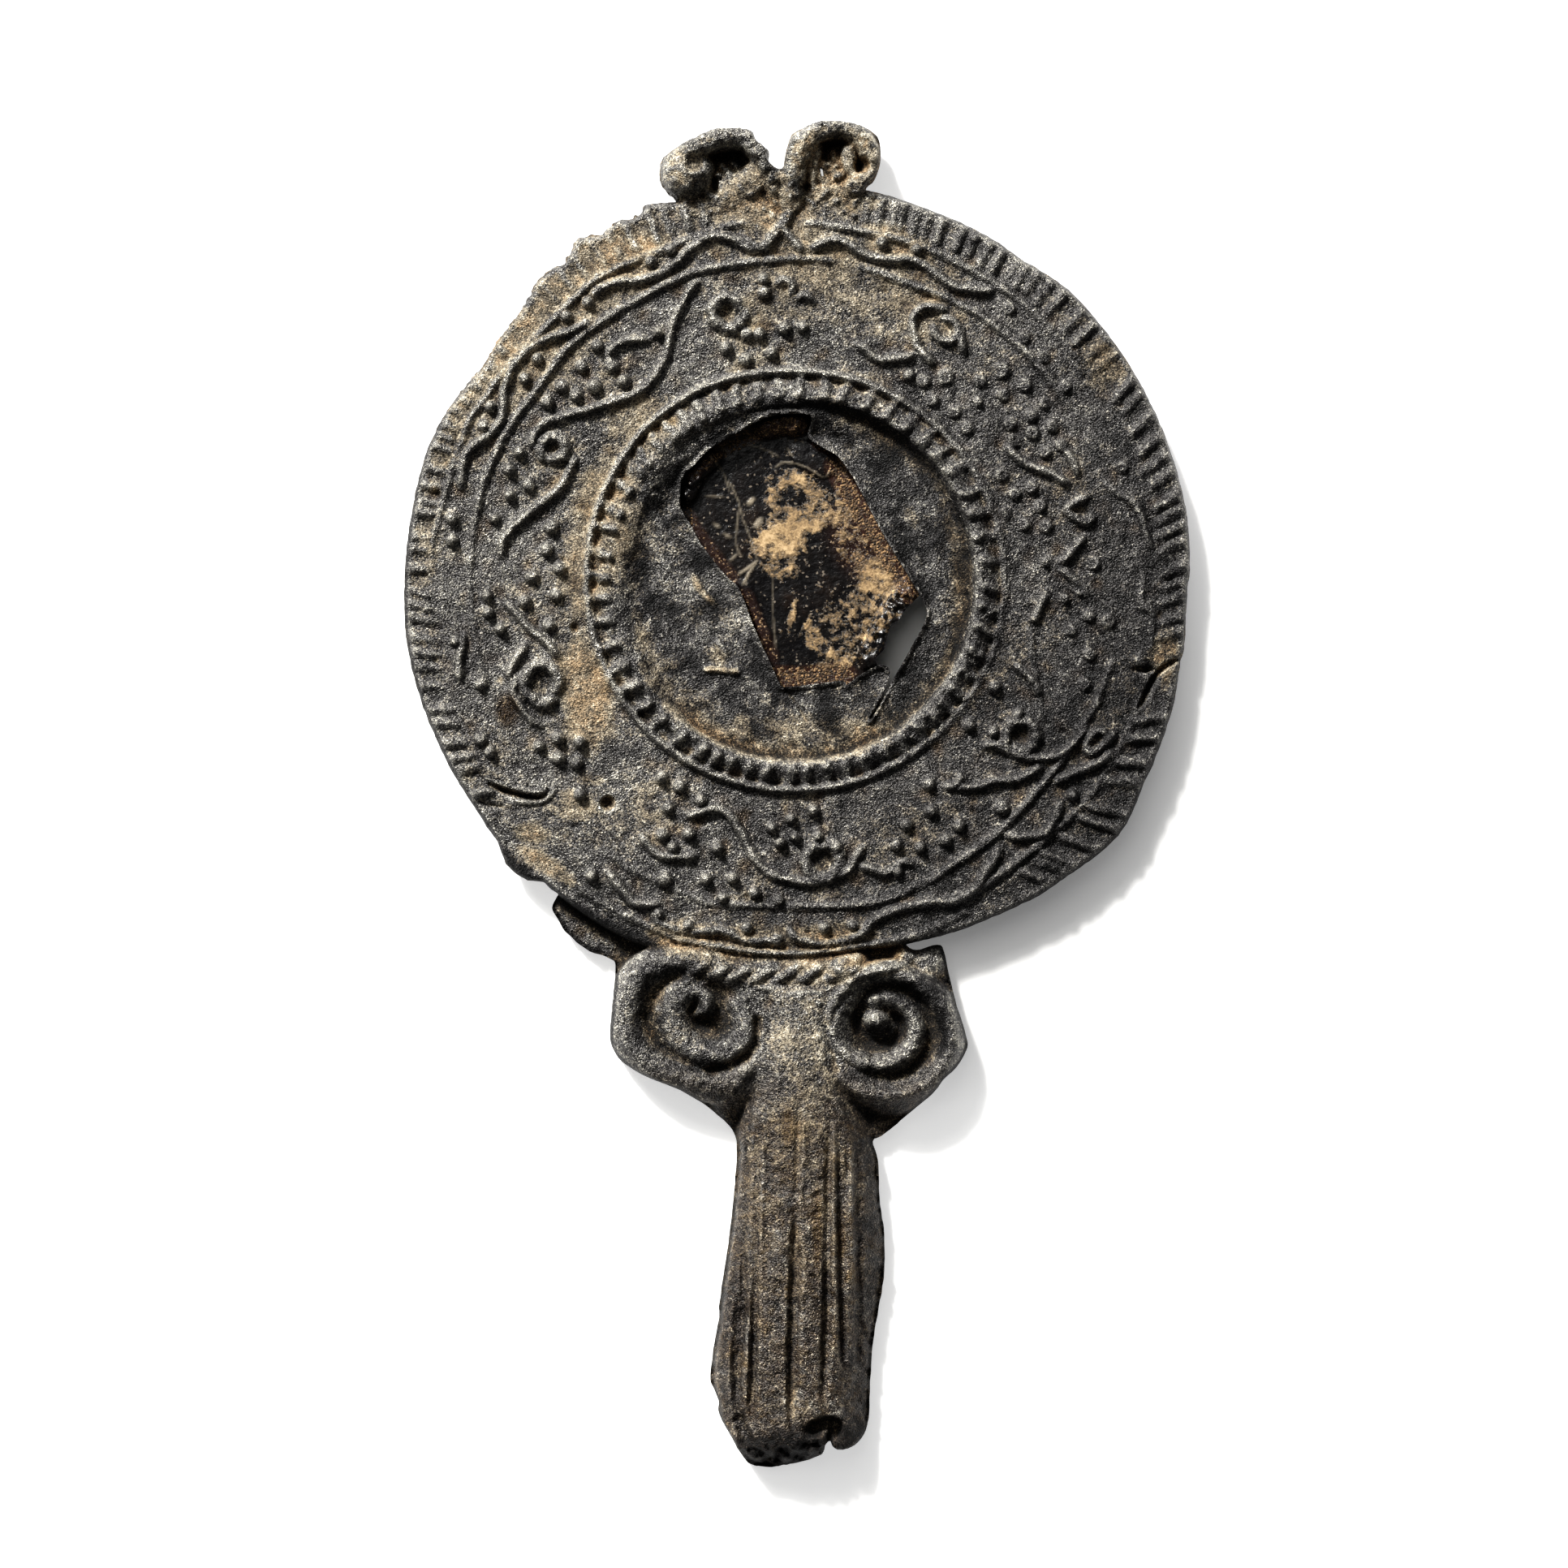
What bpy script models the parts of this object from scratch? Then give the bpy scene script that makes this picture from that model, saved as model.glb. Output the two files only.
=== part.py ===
"""Lead votive mirror, lying face up.

A thin lead casting with a relief face, a fluted handle broken at its end and two curled scrolls,
and behind its torn field a broken piece of domed mirror glass. The face looks along +Z, the
scrolls point along +Y and the back of the handle lies on z = 0.
"""
import math

import bmesh
import bpy
from mathutils import Matrix, Vector

# Sizes are in millimetres and angles in degrees; at() and the shape makers turn them into metres.
MM = 0.001

# The glass in its seat, from the surface upwards
GLASS_LIFT = 0.2
GLASS_THICKNESS = 0.9
GLASS_DOME = 0.6
GLASS_GAP = 0.3
SEAT_LAP = 1.1
SEAT_WALL = 2.4

# Heights of the casting above the glass, and how far its parts stand proud
FIELD_SHEET = 0.5
FIELD_DEPTH = 0.7
DISC_THICKNESS = 1.6
RIM_DROP = 0.2
LIP_RISE = 0.4
RIDGE_RISE = 0.65
BEAD_DROP = 0.1
LINE_RISE = 0.35
RELIEF_RISE = 0.45
RELIEF_ROOT = 0.13

# Bands of the disc, from the field outwards
FIELD_RADIUS = 15.9
BEAD_BAND = 2.95
VINE_BAND = 9.95
WAVE_BAND = 3.3
RIM_BAND = 2.9
LINE_WIDTH = 0.8
LIP_WIDTH = 0.6
RING_SIDES = 42
PATTERN_CENTRE = (-0.15, 18.9)

FIELD_BACK = GLASS_LIFT + GLASS_THICKNESS + GLASS_DOME + GLASS_GAP
FIELD_FACE = FIELD_BACK + FIELD_SHEET
DISC_FACE = FIELD_FACE + FIELD_DEPTH
DISC_BACK = DISC_FACE - DISC_THICKNESS
RIM_FACE = DISC_FACE - RIM_DROP
BEAD_FLOOR = DISC_FACE - BEAD_DROP
LIP_OUTSIDE = FIELD_RADIUS + LIP_WIDTH
RIDGE_RADIUS = FIELD_RADIUS + BEAD_BAND
INNER_LINE = RIDGE_RADIUS + VINE_BAND
OUTER_LINE = INNER_LINE + WAVE_BAND
DISC_RADIUS = OUTER_LINE + RIM_BAND
SEAT_RADIUS = FIELD_RADIUS + SEAT_LAP
GLASS_RADIUS = SEAT_RADIUS - GLASS_GAP

# How far the worn edge stands outside DISC_RADIUS, by clock angle
EDGE_SWELLS = (
    (10, 0.5), (35, 0.2), (46, 0.6), (70, 0.4), (91, 0.2), (107, 0.35), (119, 0.75), (127, 1.45),
    (137, 0.6), (150, -0.5), (168, -1.7), (185, -1.9), (200, 0.2), (219, -0.3), (225, 0.75),
    (233, 0.0), (262, 0.0), (284, -0.3), (297, -0.5), (305, -1.2), (314, -0.7), (320, 0.4),
    (330, 0.6), (341, 0.8),
)
EDGE_STEP = 4

# Tongues round the rim: first and last clock angle, how many, and how far their inner ends lean
RIM_TONGUES = (
    (11, 40, 14, 0), (43, 98, 20, 8), (111, 140, 9, 14), (236, 270, 12, -10), (273, 303, 12, 0),
    (319, 345, 8, 0),
)
TONGUE_WIDTH = 1.1
TONGUE_MARGIN = 0.35

# The wave between the two lines: first and last clock angle of each stretch that is left
WAVE_STRETCHES = ((-8, 34), (116, 181), (184, 212), (286, 358))
WAVE_PERIOD = 18.2
WAVE_CREST = 290
WAVE_STEPS = 5
BAND_DOTS = (
    38, 43, 48, 54, 70.5, 127.5, 170.5, 175, 183, 188, 197, 202.5, 215, 241, 252, 260, 277, 281, 297,
    307, 319, 336,
)
BAND_DOT_SHIFT = 0.55

# The vine: clock angle, and share of the way from the ridge out to the inner line
VINE_STROKES = (
    ((29, 0.92), (25, 0.80), (24.2, 0.68), (26, 0.53), (32, 0.38)),
    ((57, 0.30), (61, 0.35), (67, 0.58), (70, 0.69)),
    ((73.5, 0.84), (74.8, 0.61), (78.3, 0.76)),
    ((81, 0.73), (84.5, 0.53), (86, 0.44)),
    ((92.5, 0.30), (96, 0.25), (100, 0.19)),
    ((126.5, 0.87), (131.5, 0.77), (135.5, 0.59), (138, 0.54)),
    ((157.5, 0.84), (159, 0.79), (163, 0.84), (167, 0.70)),
    ((165.5, 0.50), (169, 0.66), (176, 0.79), (182, 0.76), (188, 0.60), (194, 0.27), (199, 0.19), (205, 0.37)),
    ((200, 0.70), (206, 0.84), (211.5, 0.76)),
    ((240.5, 0.70), (246, 0.82), (251.5, 0.73)),
    ((253, 0.28), (259, 0.44), (266, 0.70)),
    ((275, 0.75), (279, 0.74), (285, 0.53), (291, 0.35), (297.5, 0.32)),
    ((297, 0.76), (301, 0.79), (309, 0.52), (315, 0.36), (322, 0.26), (328, 0.34), (334, 0.62), (342, 0.94)),
    ((320.5, 0.72), (325, 0.75), (329, 0.63)),
)
STROKE_RADIUS = 0.45
VINE_ROSES = ((30.5, 0.67), (124.5, 0.52), (174.7, 0.50), (248.5, 0.50), (346, 0.58))
ROSE_RADIUS = 1.45
ROSE_SIDES = 9

# Bunches of grapes: clock angle, share outwards, and the grapes in each row
GRAPE_BUNCHES = (
    (34, 0.18, (2, 2)), (44.5, 0.62, (1, 2)), (55, 0.70, (2, 3, 2)), (70, 0.30, (2, 3)),
    (98, 0.76, (2, 1)), (118, 0.22, (1, 1)), (152, 0.68, (2, 3)), (178, 0.28, (2,)),
    (187, 0.90, (2,)), (206, 0.55, (1, 2)), (209, 0.17, (3,)), (231, 0.68, (2, 3, 1)),
    (268, 0.28, (2, 3)), (264, 0.88, (3,)), (285, 0.86, (3,)), (314, 0.72, (2, 3, 2)),
    (352, 0.22, (3, 2)), (355, 0.78, (1, 1)),
)
GRAPE_WIDTH = 1.0
GRAPE_PITCH = 1.5
GRAPE_ROW = 1.3
BEAD_COUNT = 44
BEAD_WIDTH = 1.25

# The hole torn in the field, from its top corner and with the clock, in shares of FIELD_RADIUS
WINDOW = (
    (0.091, 0.925), (0.072, 0.818), (0.236, 0.704), (0.349, 0.528), (0.494, 0.264), (0.638, 0.025),
    (0.733, -0.138), (0.720, -0.220), (0.626, -0.396), (0.525, -0.572), (0.513, -0.472),
    (0.450, -0.459), (0.280, -0.572), (0.110, -0.566), (-0.060, -0.579), (-0.135, -0.459),
    (-0.230, -0.252), (-0.311, -0.038), (-0.443, 0.107), (-0.569, 0.233), (-0.645, 0.428),
    (-0.632, 0.591), (-0.569, 0.654), (-0.425, 0.786), (-0.198, 0.899), (-0.009, 0.937),
)
# The side broken off the glass, in shares of GLASS_RADIUS
GLASS_BREAK = (
    (0.763, 0.066), (0.608, -0.084), (0.536, -0.240), (0.470, -0.317), (0.434, -0.431),
    (0.452, -0.611), (0.584, -0.892), (0.692, -1.251), (1.446, -1.251), (1.446, 0.066),
)
GLASS_RINGS = 3

# Neck, volutes and handle, with heights measured from the foot of the disc
STEM_LAP = 0.7
STEM_OUTLINE = (
    (-19.5, 9.1), (-21.6, 6.3), (-20.5, 3.8), (-18.7, 2.3), (-16.4, 1.5), (-16.0, 0.5), (-16.4, -1.7),
    (-16.7, -5.0), (-16.5, -6.4), (-15.5, -7.7), (-13.6, -8.9), (-10.3, -10.3), (-7.8, -11.8),
    (-6.1, -13.3), (-5.4, -15.1), (-5.5, -17.9), (-6.1, -23.9), (-6.9, -29.4), (-7.7, -35.1),
    (-6.9, -37.5), (-6.8, -39.2), (-5.0, -42.5), (-4.1, -43.5), (-3.0, -43.9), (-0.8, -43.7),
    (1.3, -43.0), (2.4, -42.4), (2.6, -41.6), (3.1, -41.4), (3.4, -42.0), (4.9, -41.9), (5.9, -41.0),
    (6.4, -39.5), (6.7, -33.9), (7.2, -30.1), (7.8, -26.6), (7.8, -22.9), (7.3, -17.9), (6.8, -14.8),
    (8.5, -13.5), (12.0, -10.5), (14.3, -8.0), (15.2, -6.3), (14.5, -3.1), (13.7, -0.4), (13.1, 2.2),
    (12.4, 2.7), (8.0, 2.4), (7.0, 9.1),
)
CAPITAL_RISE = 0.6
CAPITAL_BACK = 0.5
CAPITAL_OUTLINE = (
    (-9.0, 3.5), (-13.4, 1.3), (-15.4, -1.9), (-15.6, -5.5), (-13.6, -7.9), (-8.6, -10.5),
    (-5.6, -11.9), (5.9, -13.3), (9.6, -11.1), (13.0, -7.9), (14.2, -5.7), (13.0, -1.5), (11.8, 1.5),
    (8.2, 3.5),
)
# Middles of the two volutes, and the way that each winds
VOLUTES = ((-9.1, -4.2, 1), (7.9, -5.1, -1))
VOLUTE_RADIUS = 5.3
VOLUTE_DEPTH = 1.4
VOLUTE_SIDES = 18
VOLUTE_TURNS = 1.9
VOLUTE_START = 100
VOLUTE_STEPS = 22
VOLUTE_EYE = 0.22
VOLUTE_RIDGE = 0.7
VOLUTE_LIFT = 0.2
ROPE_COUNT = 7
ROPE_FIRST = -7.2
ROPE_LAST = 5.4
ROPE_HEIGHT = 0.3
ROPE_LEAN = 28
ROPE_HALF = (0.55, 1.45)

# The handle's half column
COLUMN_SIDES = 24
COLUMN_TOP = -3.9
COLUMN_END = -46.0
COLUMN_TOP_HALF = 6.0
COLUMN_END_HALF = 8.2
COLUMN_HEIGHT = 4.8
FLUTES = ((-5.1, -14.4), (-3.9, -15.4), (-0.5, -13.0), (2.5, -13.4), (4.0, -12.9))
FLUTE_RADIUS = 0.6
FLUTE_END = -39.5
FLUTE_SPREAD = 0.07
BREAK_START = -41.2
BREAK_SLOPE = 50

# The two scrolls, with heights measured from the head of the disc
LEFT_SCROLL = (
    (-9.0, -2.9), (-10.7, -1.0), (-11.8, 0.0), (-12.2, 1.2), (-12.0, 2.6), (-10.9, 3.6), (-9.1, 4.6),
    (-7.4, 5.3), (-4.2, 5.3), (-3.7, 4.4), (-2.6, 3.3), (-2.5, 2.4), (-1.4, 1.7), (-0.4, -3.9),
)
RIGHT_SCROLL = (
    (-2.0, -1.9), (-1.4, 1.6), (-0.9, 3.1), (-0.3, 4.7), (1.2, 5.7), (2.8, 6.1), (4.7, 5.9), (6.3, 5.4),
    (7.2, 4.7), (7.4, 3.3), (7.3, 1.9), (6.8, 0.7), (6.0, -0.1), (5.0, -2.4),
)
LEFT_STRAP = (
    (-2.6, -0.3), (-3.6, 2.5), (-5.0, 4.0), (-7.2, 4.1), (-9.4, 3.3), (-10.6, 1.7), (-10.0, 0.3),
    (-8.9, 0.7),
)
RIGHT_STRAP = (
    (0.2, -0.3), (0.3, 2.7), (1.6, 4.3), (3.6, 4.7), (5.4, 4.0), (5.9, 2.4), (5.3, 1.0), (4.3, 1.5),
)
SCROLL_DROP = 0.5
SCROLL_BACKING = 1.4
STRAP_RADIUS = 1.3
STRAP_LIFT = 0.4

LEAD_COLOUR = (0.055, 0.055, 0.056, 1.0)
GLASS_COLOUR = (0.018, 0.014, 0.010, 1.0)


def at(x, y, z=0.0):
    """A place given in millimetres, as metres."""
    return Vector((x, y, z)) * MM


def on_disc(angle, radius, z=0.0):
    """A place on the disc by clock angle and radius."""
    turn = math.radians(angle)
    x = PATTERN_CENTRE[0] + radius * math.sin(turn)
    y = PATTERN_CENTRE[1] + radius * math.cos(turn)
    return at(x, y, z)


def in_vine(angle, share, z=0.0):
    """A place in the vine by clock angle and share of the way outwards."""
    inner = RIDGE_RADIUS + LINE_WIDTH
    outer = INNER_LINE - LINE_WIDTH / 2
    return on_disc(angle, inner + share * (outer - inner), z)


def in_field(points, radius):
    """Places given in shares of a radius about the pattern's middle."""
    x, y = PATTERN_CENTRE
    return [at(x + share_x * radius, y + share_y * radius) for share_x, share_y in points]


def below_disc(x, y, z=0.0):
    """A place measured from the foot of the disc."""
    return at(x, PATTERN_CENTRE[1] - DISC_RADIUS + y, z)


def above_disc(x, y, z=0.0):
    """A place measured from the head of the disc."""
    return at(x, PATTERN_CENTRE[1] + DISC_RADIUS + y, z)


def midway(points):
    """The same line with a rounded point between every two."""
    line = []
    last = len(points) - 1
    for index in range(last):
        before, start = points[max(index - 1, 0)], points[index]
        stop, after = points[index + 1], points[min(index + 2, last)]
        line.append(start)
        line.append((9 * (start + stop) - before - after) / 16)
    line.append(points[last])
    return line


def edge_radius(angle):
    """The worn edge's radius at a clock angle, eased between the swells."""
    first_angle, first_swell = EDGE_SWELLS[0]
    swells = EDGE_SWELLS + ((first_angle + 360, first_swell),)
    angle = first_angle + (angle - first_angle) % 360
    for (start, low), (stop, high) in zip(swells, swells[1:]):
        if start <= angle <= stop:
            ease = (1 - math.cos(math.pi * (angle - start) / (stop - start))) / 2
            return DISC_RADIUS + low + (high - low) * ease
    return DISC_RADIUS + first_swell


def new_object(name, mesh, collection, place=(0.0, 0.0, 0.0)):
    thing = bpy.data.objects.new(name, mesh)
    thing.location = place
    collection.objects.link(thing)
    return thing


def mesh_of(curve_object, collection):
    """The curve object as a welded mesh object of the same name and place."""
    bpy.context.view_layer.update()
    graph = bpy.context.evaluated_depsgraph_get()
    mesh = bpy.data.meshes.new_from_object(curve_object.evaluated_get(graph))
    body = bmesh.new()
    body.from_mesh(mesh)
    bmesh.ops.remove_doubles(body, verts=body.verts, dist=0.001 * MM)
    bmesh.ops.recalc_face_normals(body, faces=body.faces)
    body.to_mesh(mesh)
    body.free()
    name = curve_object.name
    matrix = curve_object.matrix_world.copy()
    bpy.data.objects.remove(curve_object, do_unlink=True)
    thing = new_object(name, mesh, collection)
    thing.matrix_world = matrix
    return thing


def plate(name, outline, bottom, top, collection):
    """A flat outline, extruded from bottom to top."""
    curve = bpy.data.curves.new(name, "CURVE")
    curve.dimensions = "2D"
    curve.fill_mode = "BOTH"
    curve.extrude = (top - bottom) / 2 * MM
    spline = curve.splines.new("POLY")
    spline.points.add(len(outline) - 1)
    for point, place in zip(spline.points, outline):
        point.co = (place.x, place.y, 0.0, 1.0)
    spline.use_cyclic_u = True
    return mesh_of(new_object(name, curve, collection, at(0, 0, (top + bottom) / 2)), collection)


def strokes(name, lines, radius, collection, closed=False, sides=4):
    """Strokes of one radius along the given lines, as one mesh."""
    curve = bpy.data.curves.new(name, "CURVE")
    curve.dimensions = "3D"
    curve.bevel_depth = radius * MM
    curve.bevel_resolution = sides // 2 - 2
    curve.use_fill_caps = not closed
    for line in lines:
        spline = curve.splines.new("POLY")
        spline.points.add(len(line) - 1)
        for point, place in zip(spline.points, line):
            point.co = (*place, 1.0)
        spline.use_cyclic_u = closed
    return mesh_of(new_object(name, curve, collection), collection)


def mounds(name, places, collection, sides=5):
    """Low domes: each has a middle on the face, the clock angle it lies along and its half sizes."""
    body = bmesh.new()
    for middle, angle, half in places:
        made = bmesh.ops.create_uvsphere(body, u_segments=sides, v_segments=4, radius=1.0)
        bmesh.ops.scale(body, vec=Vector(half) * MM, verts=made["verts"])
        turn = Matrix.Rotation(-math.radians(angle), 3, "Z")
        bmesh.ops.rotate(body, cent=(0, 0, 0), matrix=turn, verts=made["verts"])
        bmesh.ops.translate(body, vec=middle - at(0, 0, RELIEF_ROOT), verts=made["verts"])
    mesh = bpy.data.meshes.new(name)
    body.to_mesh(mesh)
    body.free()
    return new_object(name, mesh, collection)


def lathed(name, profile, centre, sides, collection):
    """A profile of radius and height, down its outer side, turned about Z through the centre."""
    body = bmesh.new()
    corners = [body.verts.new(at(radius, 0, height)) for radius, height in profile]
    for start, stop in zip(corners, corners[1:]):
        body.edges.new((start, stop))
    mesh = bpy.data.meshes.new(name)
    body.to_mesh(mesh)
    body.free()
    thing = new_object(name, mesh, collection, at(*centre))
    screw = thing.modifiers.new("turned", "SCREW")
    screw.axis = "Z"
    screw.steps = sides
    screw.render_steps = sides
    screw.use_merge_vertices = True
    screw.merge_threshold = 0.0001 * MM
    return thing


def combine(target, tool, operation):
    """Join or cut the target with the tool, which is kept out of sight."""
    step = target.modifiers.new(tool.name, "BOOLEAN")
    step.operation = operation
    step.solver = "MANIFOLD"
    step.object = tool
    tool.hide_render = True
    tool.display_type = "WIRE"


def finish(name, colour, metallic, roughness):
    material = bpy.data.materials.new(name)
    material.use_nodes = True
    shader = material.node_tree.nodes["Principled BSDF"]
    shader.inputs["Base Color"].default_value = colour
    shader.inputs["Metallic"].default_value = metallic
    shader.inputs["Roughness"].default_value = roughness
    material.diffuse_color = colour
    return material


def line_profile(radius):
    """The little ridge of one of the disc's two lines."""
    half = LINE_WIDTH / 2
    return (radius - half, DISC_FACE), (radius, DISC_FACE + LINE_RISE), (radius + half, DISC_FACE)


def disc_profile():
    """Half section of disc, beaded ring, field sheet and the wall of the glass seat."""
    slope = LINE_WIDTH / 4
    reach = DISC_RADIUS + 3
    return (
        (0.0, FIELD_FACE), (FIELD_RADIUS, FIELD_FACE),
        (FIELD_RADIUS + slope, DISC_FACE + LIP_RISE), (LIP_OUTSIDE, DISC_FACE + LIP_RISE),
        (LIP_OUTSIDE + slope, BEAD_FLOOR), (RIDGE_RADIUS - 3 * slope, BEAD_FLOOR),
        (RIDGE_RADIUS - slope, DISC_FACE + RIDGE_RISE), (RIDGE_RADIUS + slope, DISC_FACE + RIDGE_RISE),
        (RIDGE_RADIUS + 4 * slope, DISC_FACE),
        *line_profile(INNER_LINE), *line_profile(OUTER_LINE),
        (reach, RIM_FACE), (reach, DISC_BACK),
        (SEAT_RADIUS + SEAT_WALL + slope, DISC_BACK), (SEAT_RADIUS + SEAT_WALL, 0.0),
        (SEAT_RADIUS, 0.0), (SEAT_RADIUS, FIELD_BACK), (0.0, FIELD_BACK),
    )


def tongue_places():
    places = []
    inner = OUTER_LINE + LINE_WIDTH / 2
    for first, last, count, lean in RIM_TONGUES:
        for index in range(count):
            angle = first + (last - first) * index / (count - 1)
            outer = edge_radius(angle) - TONGUE_MARGIN
            middle = on_disc(angle, (inner + outer) / 2, RIM_FACE)
            places.append((middle, angle - lean, (TONGUE_WIDTH / 2, (outer - inner) / 2, RELIEF_RISE)))
    return places


def bead_places():
    middle = (LIP_OUTSIDE + RIDGE_RADIUS) / 2
    half = (BEAD_WIDTH / 2, BEAD_WIDTH / 2, RELIEF_RISE + BEAD_DROP)
    angles = [360 * index / BEAD_COUNT for index in range(BEAD_COUNT)]
    return [(on_disc(angle, middle, BEAD_FLOOR), angle, half) for angle in angles]


def grape_places():
    """Every bunch, laid out in rows that lie across the band."""
    half = (GRAPE_WIDTH / 2, GRAPE_WIDTH / 2, RELIEF_RISE)
    places = []
    for angle, share, rows in GRAPE_BUNCHES:
        middle = in_vine(angle, share, DISC_FACE)
        outwards = on_disc(angle, 1) - on_disc(angle, 0)
        along = on_disc(angle + 90, 1) - on_disc(angle + 90, 0)
        for row, grapes in enumerate(rows):
            rise = (row - (len(rows) - 1) / 2) * GRAPE_ROW
            for grape in range(grapes):
                shift = (grape - (grapes - 1) / 2) * GRAPE_PITCH
                places.append((middle + outwards * rise + along * shift, angle, half))
    return places


def wave_swing(angle):
    """How far out the wave is at a clock angle, from -1 to 1."""
    return math.cos(2 * math.pi * (angle - WAVE_CREST) / WAVE_PERIOD)


def wave_lines():
    """The stretches of the running wave, midway between the two lines."""
    middle = (INNER_LINE + OUTER_LINE) / 2
    swing = WAVE_BAND / 2 - LINE_WIDTH
    lines = []
    for first, last in WAVE_STRETCHES:
        steps = round((last - first) / WAVE_PERIOD * WAVE_STEPS)
        angles = [first + (last - first) * step / steps for step in range(steps + 1)]
        lines.append([on_disc(angle, middle + swing * wave_swing(angle), DISC_FACE) for angle in angles])
    return lines


def band_dot_places():
    """Single dots, each on the hollow side of the wave."""
    middle = (INNER_LINE + OUTER_LINE) / 2
    half = (GRAPE_WIDTH * 0.42, GRAPE_WIDTH * 0.42, RELIEF_RISE)
    places = []
    for angle in BAND_DOTS:
        shift = BAND_DOT_SHIFT if wave_swing(angle) < 0 else -BAND_DOT_SHIFT
        places.append((on_disc(angle, middle + shift, DISC_FACE), angle, half))
    return places


def rose_lines():
    lines = []
    for angle, share in VINE_ROSES:
        middle = in_vine(angle, share, DISC_FACE)
        turns = [2 * math.pi * step / ROSE_SIDES for step in range(ROSE_SIDES)]
        lines.append([middle + at(ROSE_RADIUS * math.cos(t), ROSE_RADIUS * math.sin(t)) for t in turns])
    return lines


def volute_line(x, y, side):
    """A spiral ridge that winds down the volute's funnel into its eye."""
    face = DISC_FACE + CAPITAL_RISE
    line = []
    for step in range(VOLUTE_STEPS + 1):
        share = step / VOLUTE_STEPS
        radius = 1 - (1 - VOLUTE_EYE) * share
        turn = math.radians(VOLUTE_START + side * 360 * VOLUTE_TURNS * share)
        reach = radius * VOLUTE_RADIUS
        height = face - VOLUTE_DEPTH * (1 - radius) + VOLUTE_LIFT * share
        line.append(below_disc(x + reach * math.cos(turn), y + reach * math.sin(turn), height))
    return line


def column_half(y):
    """Half width of the handle's column, which widens downwards."""
    share = (COLUMN_TOP - y) / (COLUMN_TOP - COLUMN_END)
    return COLUMN_TOP_HALF + share * (COLUMN_END_HALF - COLUMN_TOP_HALF)


def column_front(x, y):
    """Height of the column's rounded front."""
    return COLUMN_HEIGHT / COLUMN_END_HALF * math.sqrt(column_half(y) ** 2 - x * x)


def handle_column(tools):
    """A half column that widens downwards, with its flutes and its broken end."""
    bpy.ops.mesh.primitive_cone_add(
        vertices=COLUMN_SIDES, radius1=COLUMN_END_HALF * MM, radius2=COLUMN_TOP_HALF * MM,
        depth=(COLUMN_TOP - COLUMN_END) * MM, location=below_disc(0, (COLUMN_TOP + COLUMN_END) / 2),
        rotation=(-math.pi / 2, 0.0, 0.0), scale=(1.0, COLUMN_HEIGHT / COLUMN_END_HALF, 1.0),
    )
    column = bpy.context.object
    column.name = "handle_column"
    for owner in list(column.users_collection):
        owner.objects.unlink(column)
    tools.objects.link(column)

    outline = [below_disc(x, y) for x, y in STEM_OUTLINE]
    combine(column, plate("handle_outline", outline, 0.0, COLUMN_HEIGHT + 1, tools), "INTERSECT")

    lines = []
    for x, start in FLUTES:
        ends = ((x * (1 - FLUTE_SPREAD), start), (x * (1 + FLUTE_SPREAD), FLUTE_END))
        lift = 0.4 * FLUTE_RADIUS
        lines.append([below_disc(fx, fy, column_front(fx, fy) + lift) for fx, fy in ends])
    combine(column, strokes("flutes", lines, FLUTE_RADIUS, tools), "DIFFERENCE")

    size = 4 * COLUMN_END_HALF * MM
    bpy.ops.mesh.primitive_cube_add(size=size)
    wedge = bpy.context.object
    wedge.name = "slanted_break"
    for owner in list(wedge.users_collection):
        owner.objects.unlink(wedge)
    tools.objects.link(wedge)
    slope = math.radians(BREAK_SLOPE)
    wedge.rotation_euler = (slope, 0.0, 0.0)
    edge = below_disc(0, BREAK_START, COLUMN_HEIGHT)
    wedge.location = edge + Vector((0, -math.sin(slope), math.cos(slope))) * size / 2
    combine(column, wedge, "DIFFERENCE")
    return column


def add_stem(lead, tools):
    """Back plate, capital with its volutes and rope band, and the handle."""
    face = DISC_FACE + CAPITAL_RISE
    stem = [below_disc(x, y) for x, y in STEM_OUTLINE]
    combine(lead, plate("stem_plate", stem, 0.0, DISC_BACK + STEM_LAP, tools), "UNION")
    capital = [below_disc(x, y) for x, y in CAPITAL_OUTLINE]
    combine(lead, plate("capital_block", capital, CAPITAL_BACK, face, tools), "UNION")
    combine(lead, handle_column(tools), "UNION")

    for index, (x, y, side) in enumerate(VOLUTES):
        clear = 1.0
        mouth = VOLUTE_RADIUS * (1 + clear / VOLUTE_DEPTH)
        profile = ((0.0, face + clear), (mouth, face + clear), (0.0, face - VOLUTE_DEPTH))
        middle = (x, PATTERN_CENTRE[1] - DISC_RADIUS + y)
        funnel = lathed(f"volute_funnel_{index}", profile, middle, VOLUTE_SIDES, tools)
        combine(lead, funnel, "DIFFERENCE")
        spiral = strokes(f"volute_{index}", [volute_line(x, y, side)], VOLUTE_RIDGE, tools)
        combine(lead, spiral, "UNION")

    rope = []
    for index in range(ROPE_COUNT):
        x = ROPE_FIRST + (ROPE_LAST - ROPE_FIRST) * index / (ROPE_COUNT - 1)
        rope.append((below_disc(x, ROPE_HEIGHT, face), ROPE_LEAN, (*ROPE_HALF, RELIEF_RISE)))
    combine(lead, mounds("rope_band", rope, tools, sides=4), "UNION")


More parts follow.
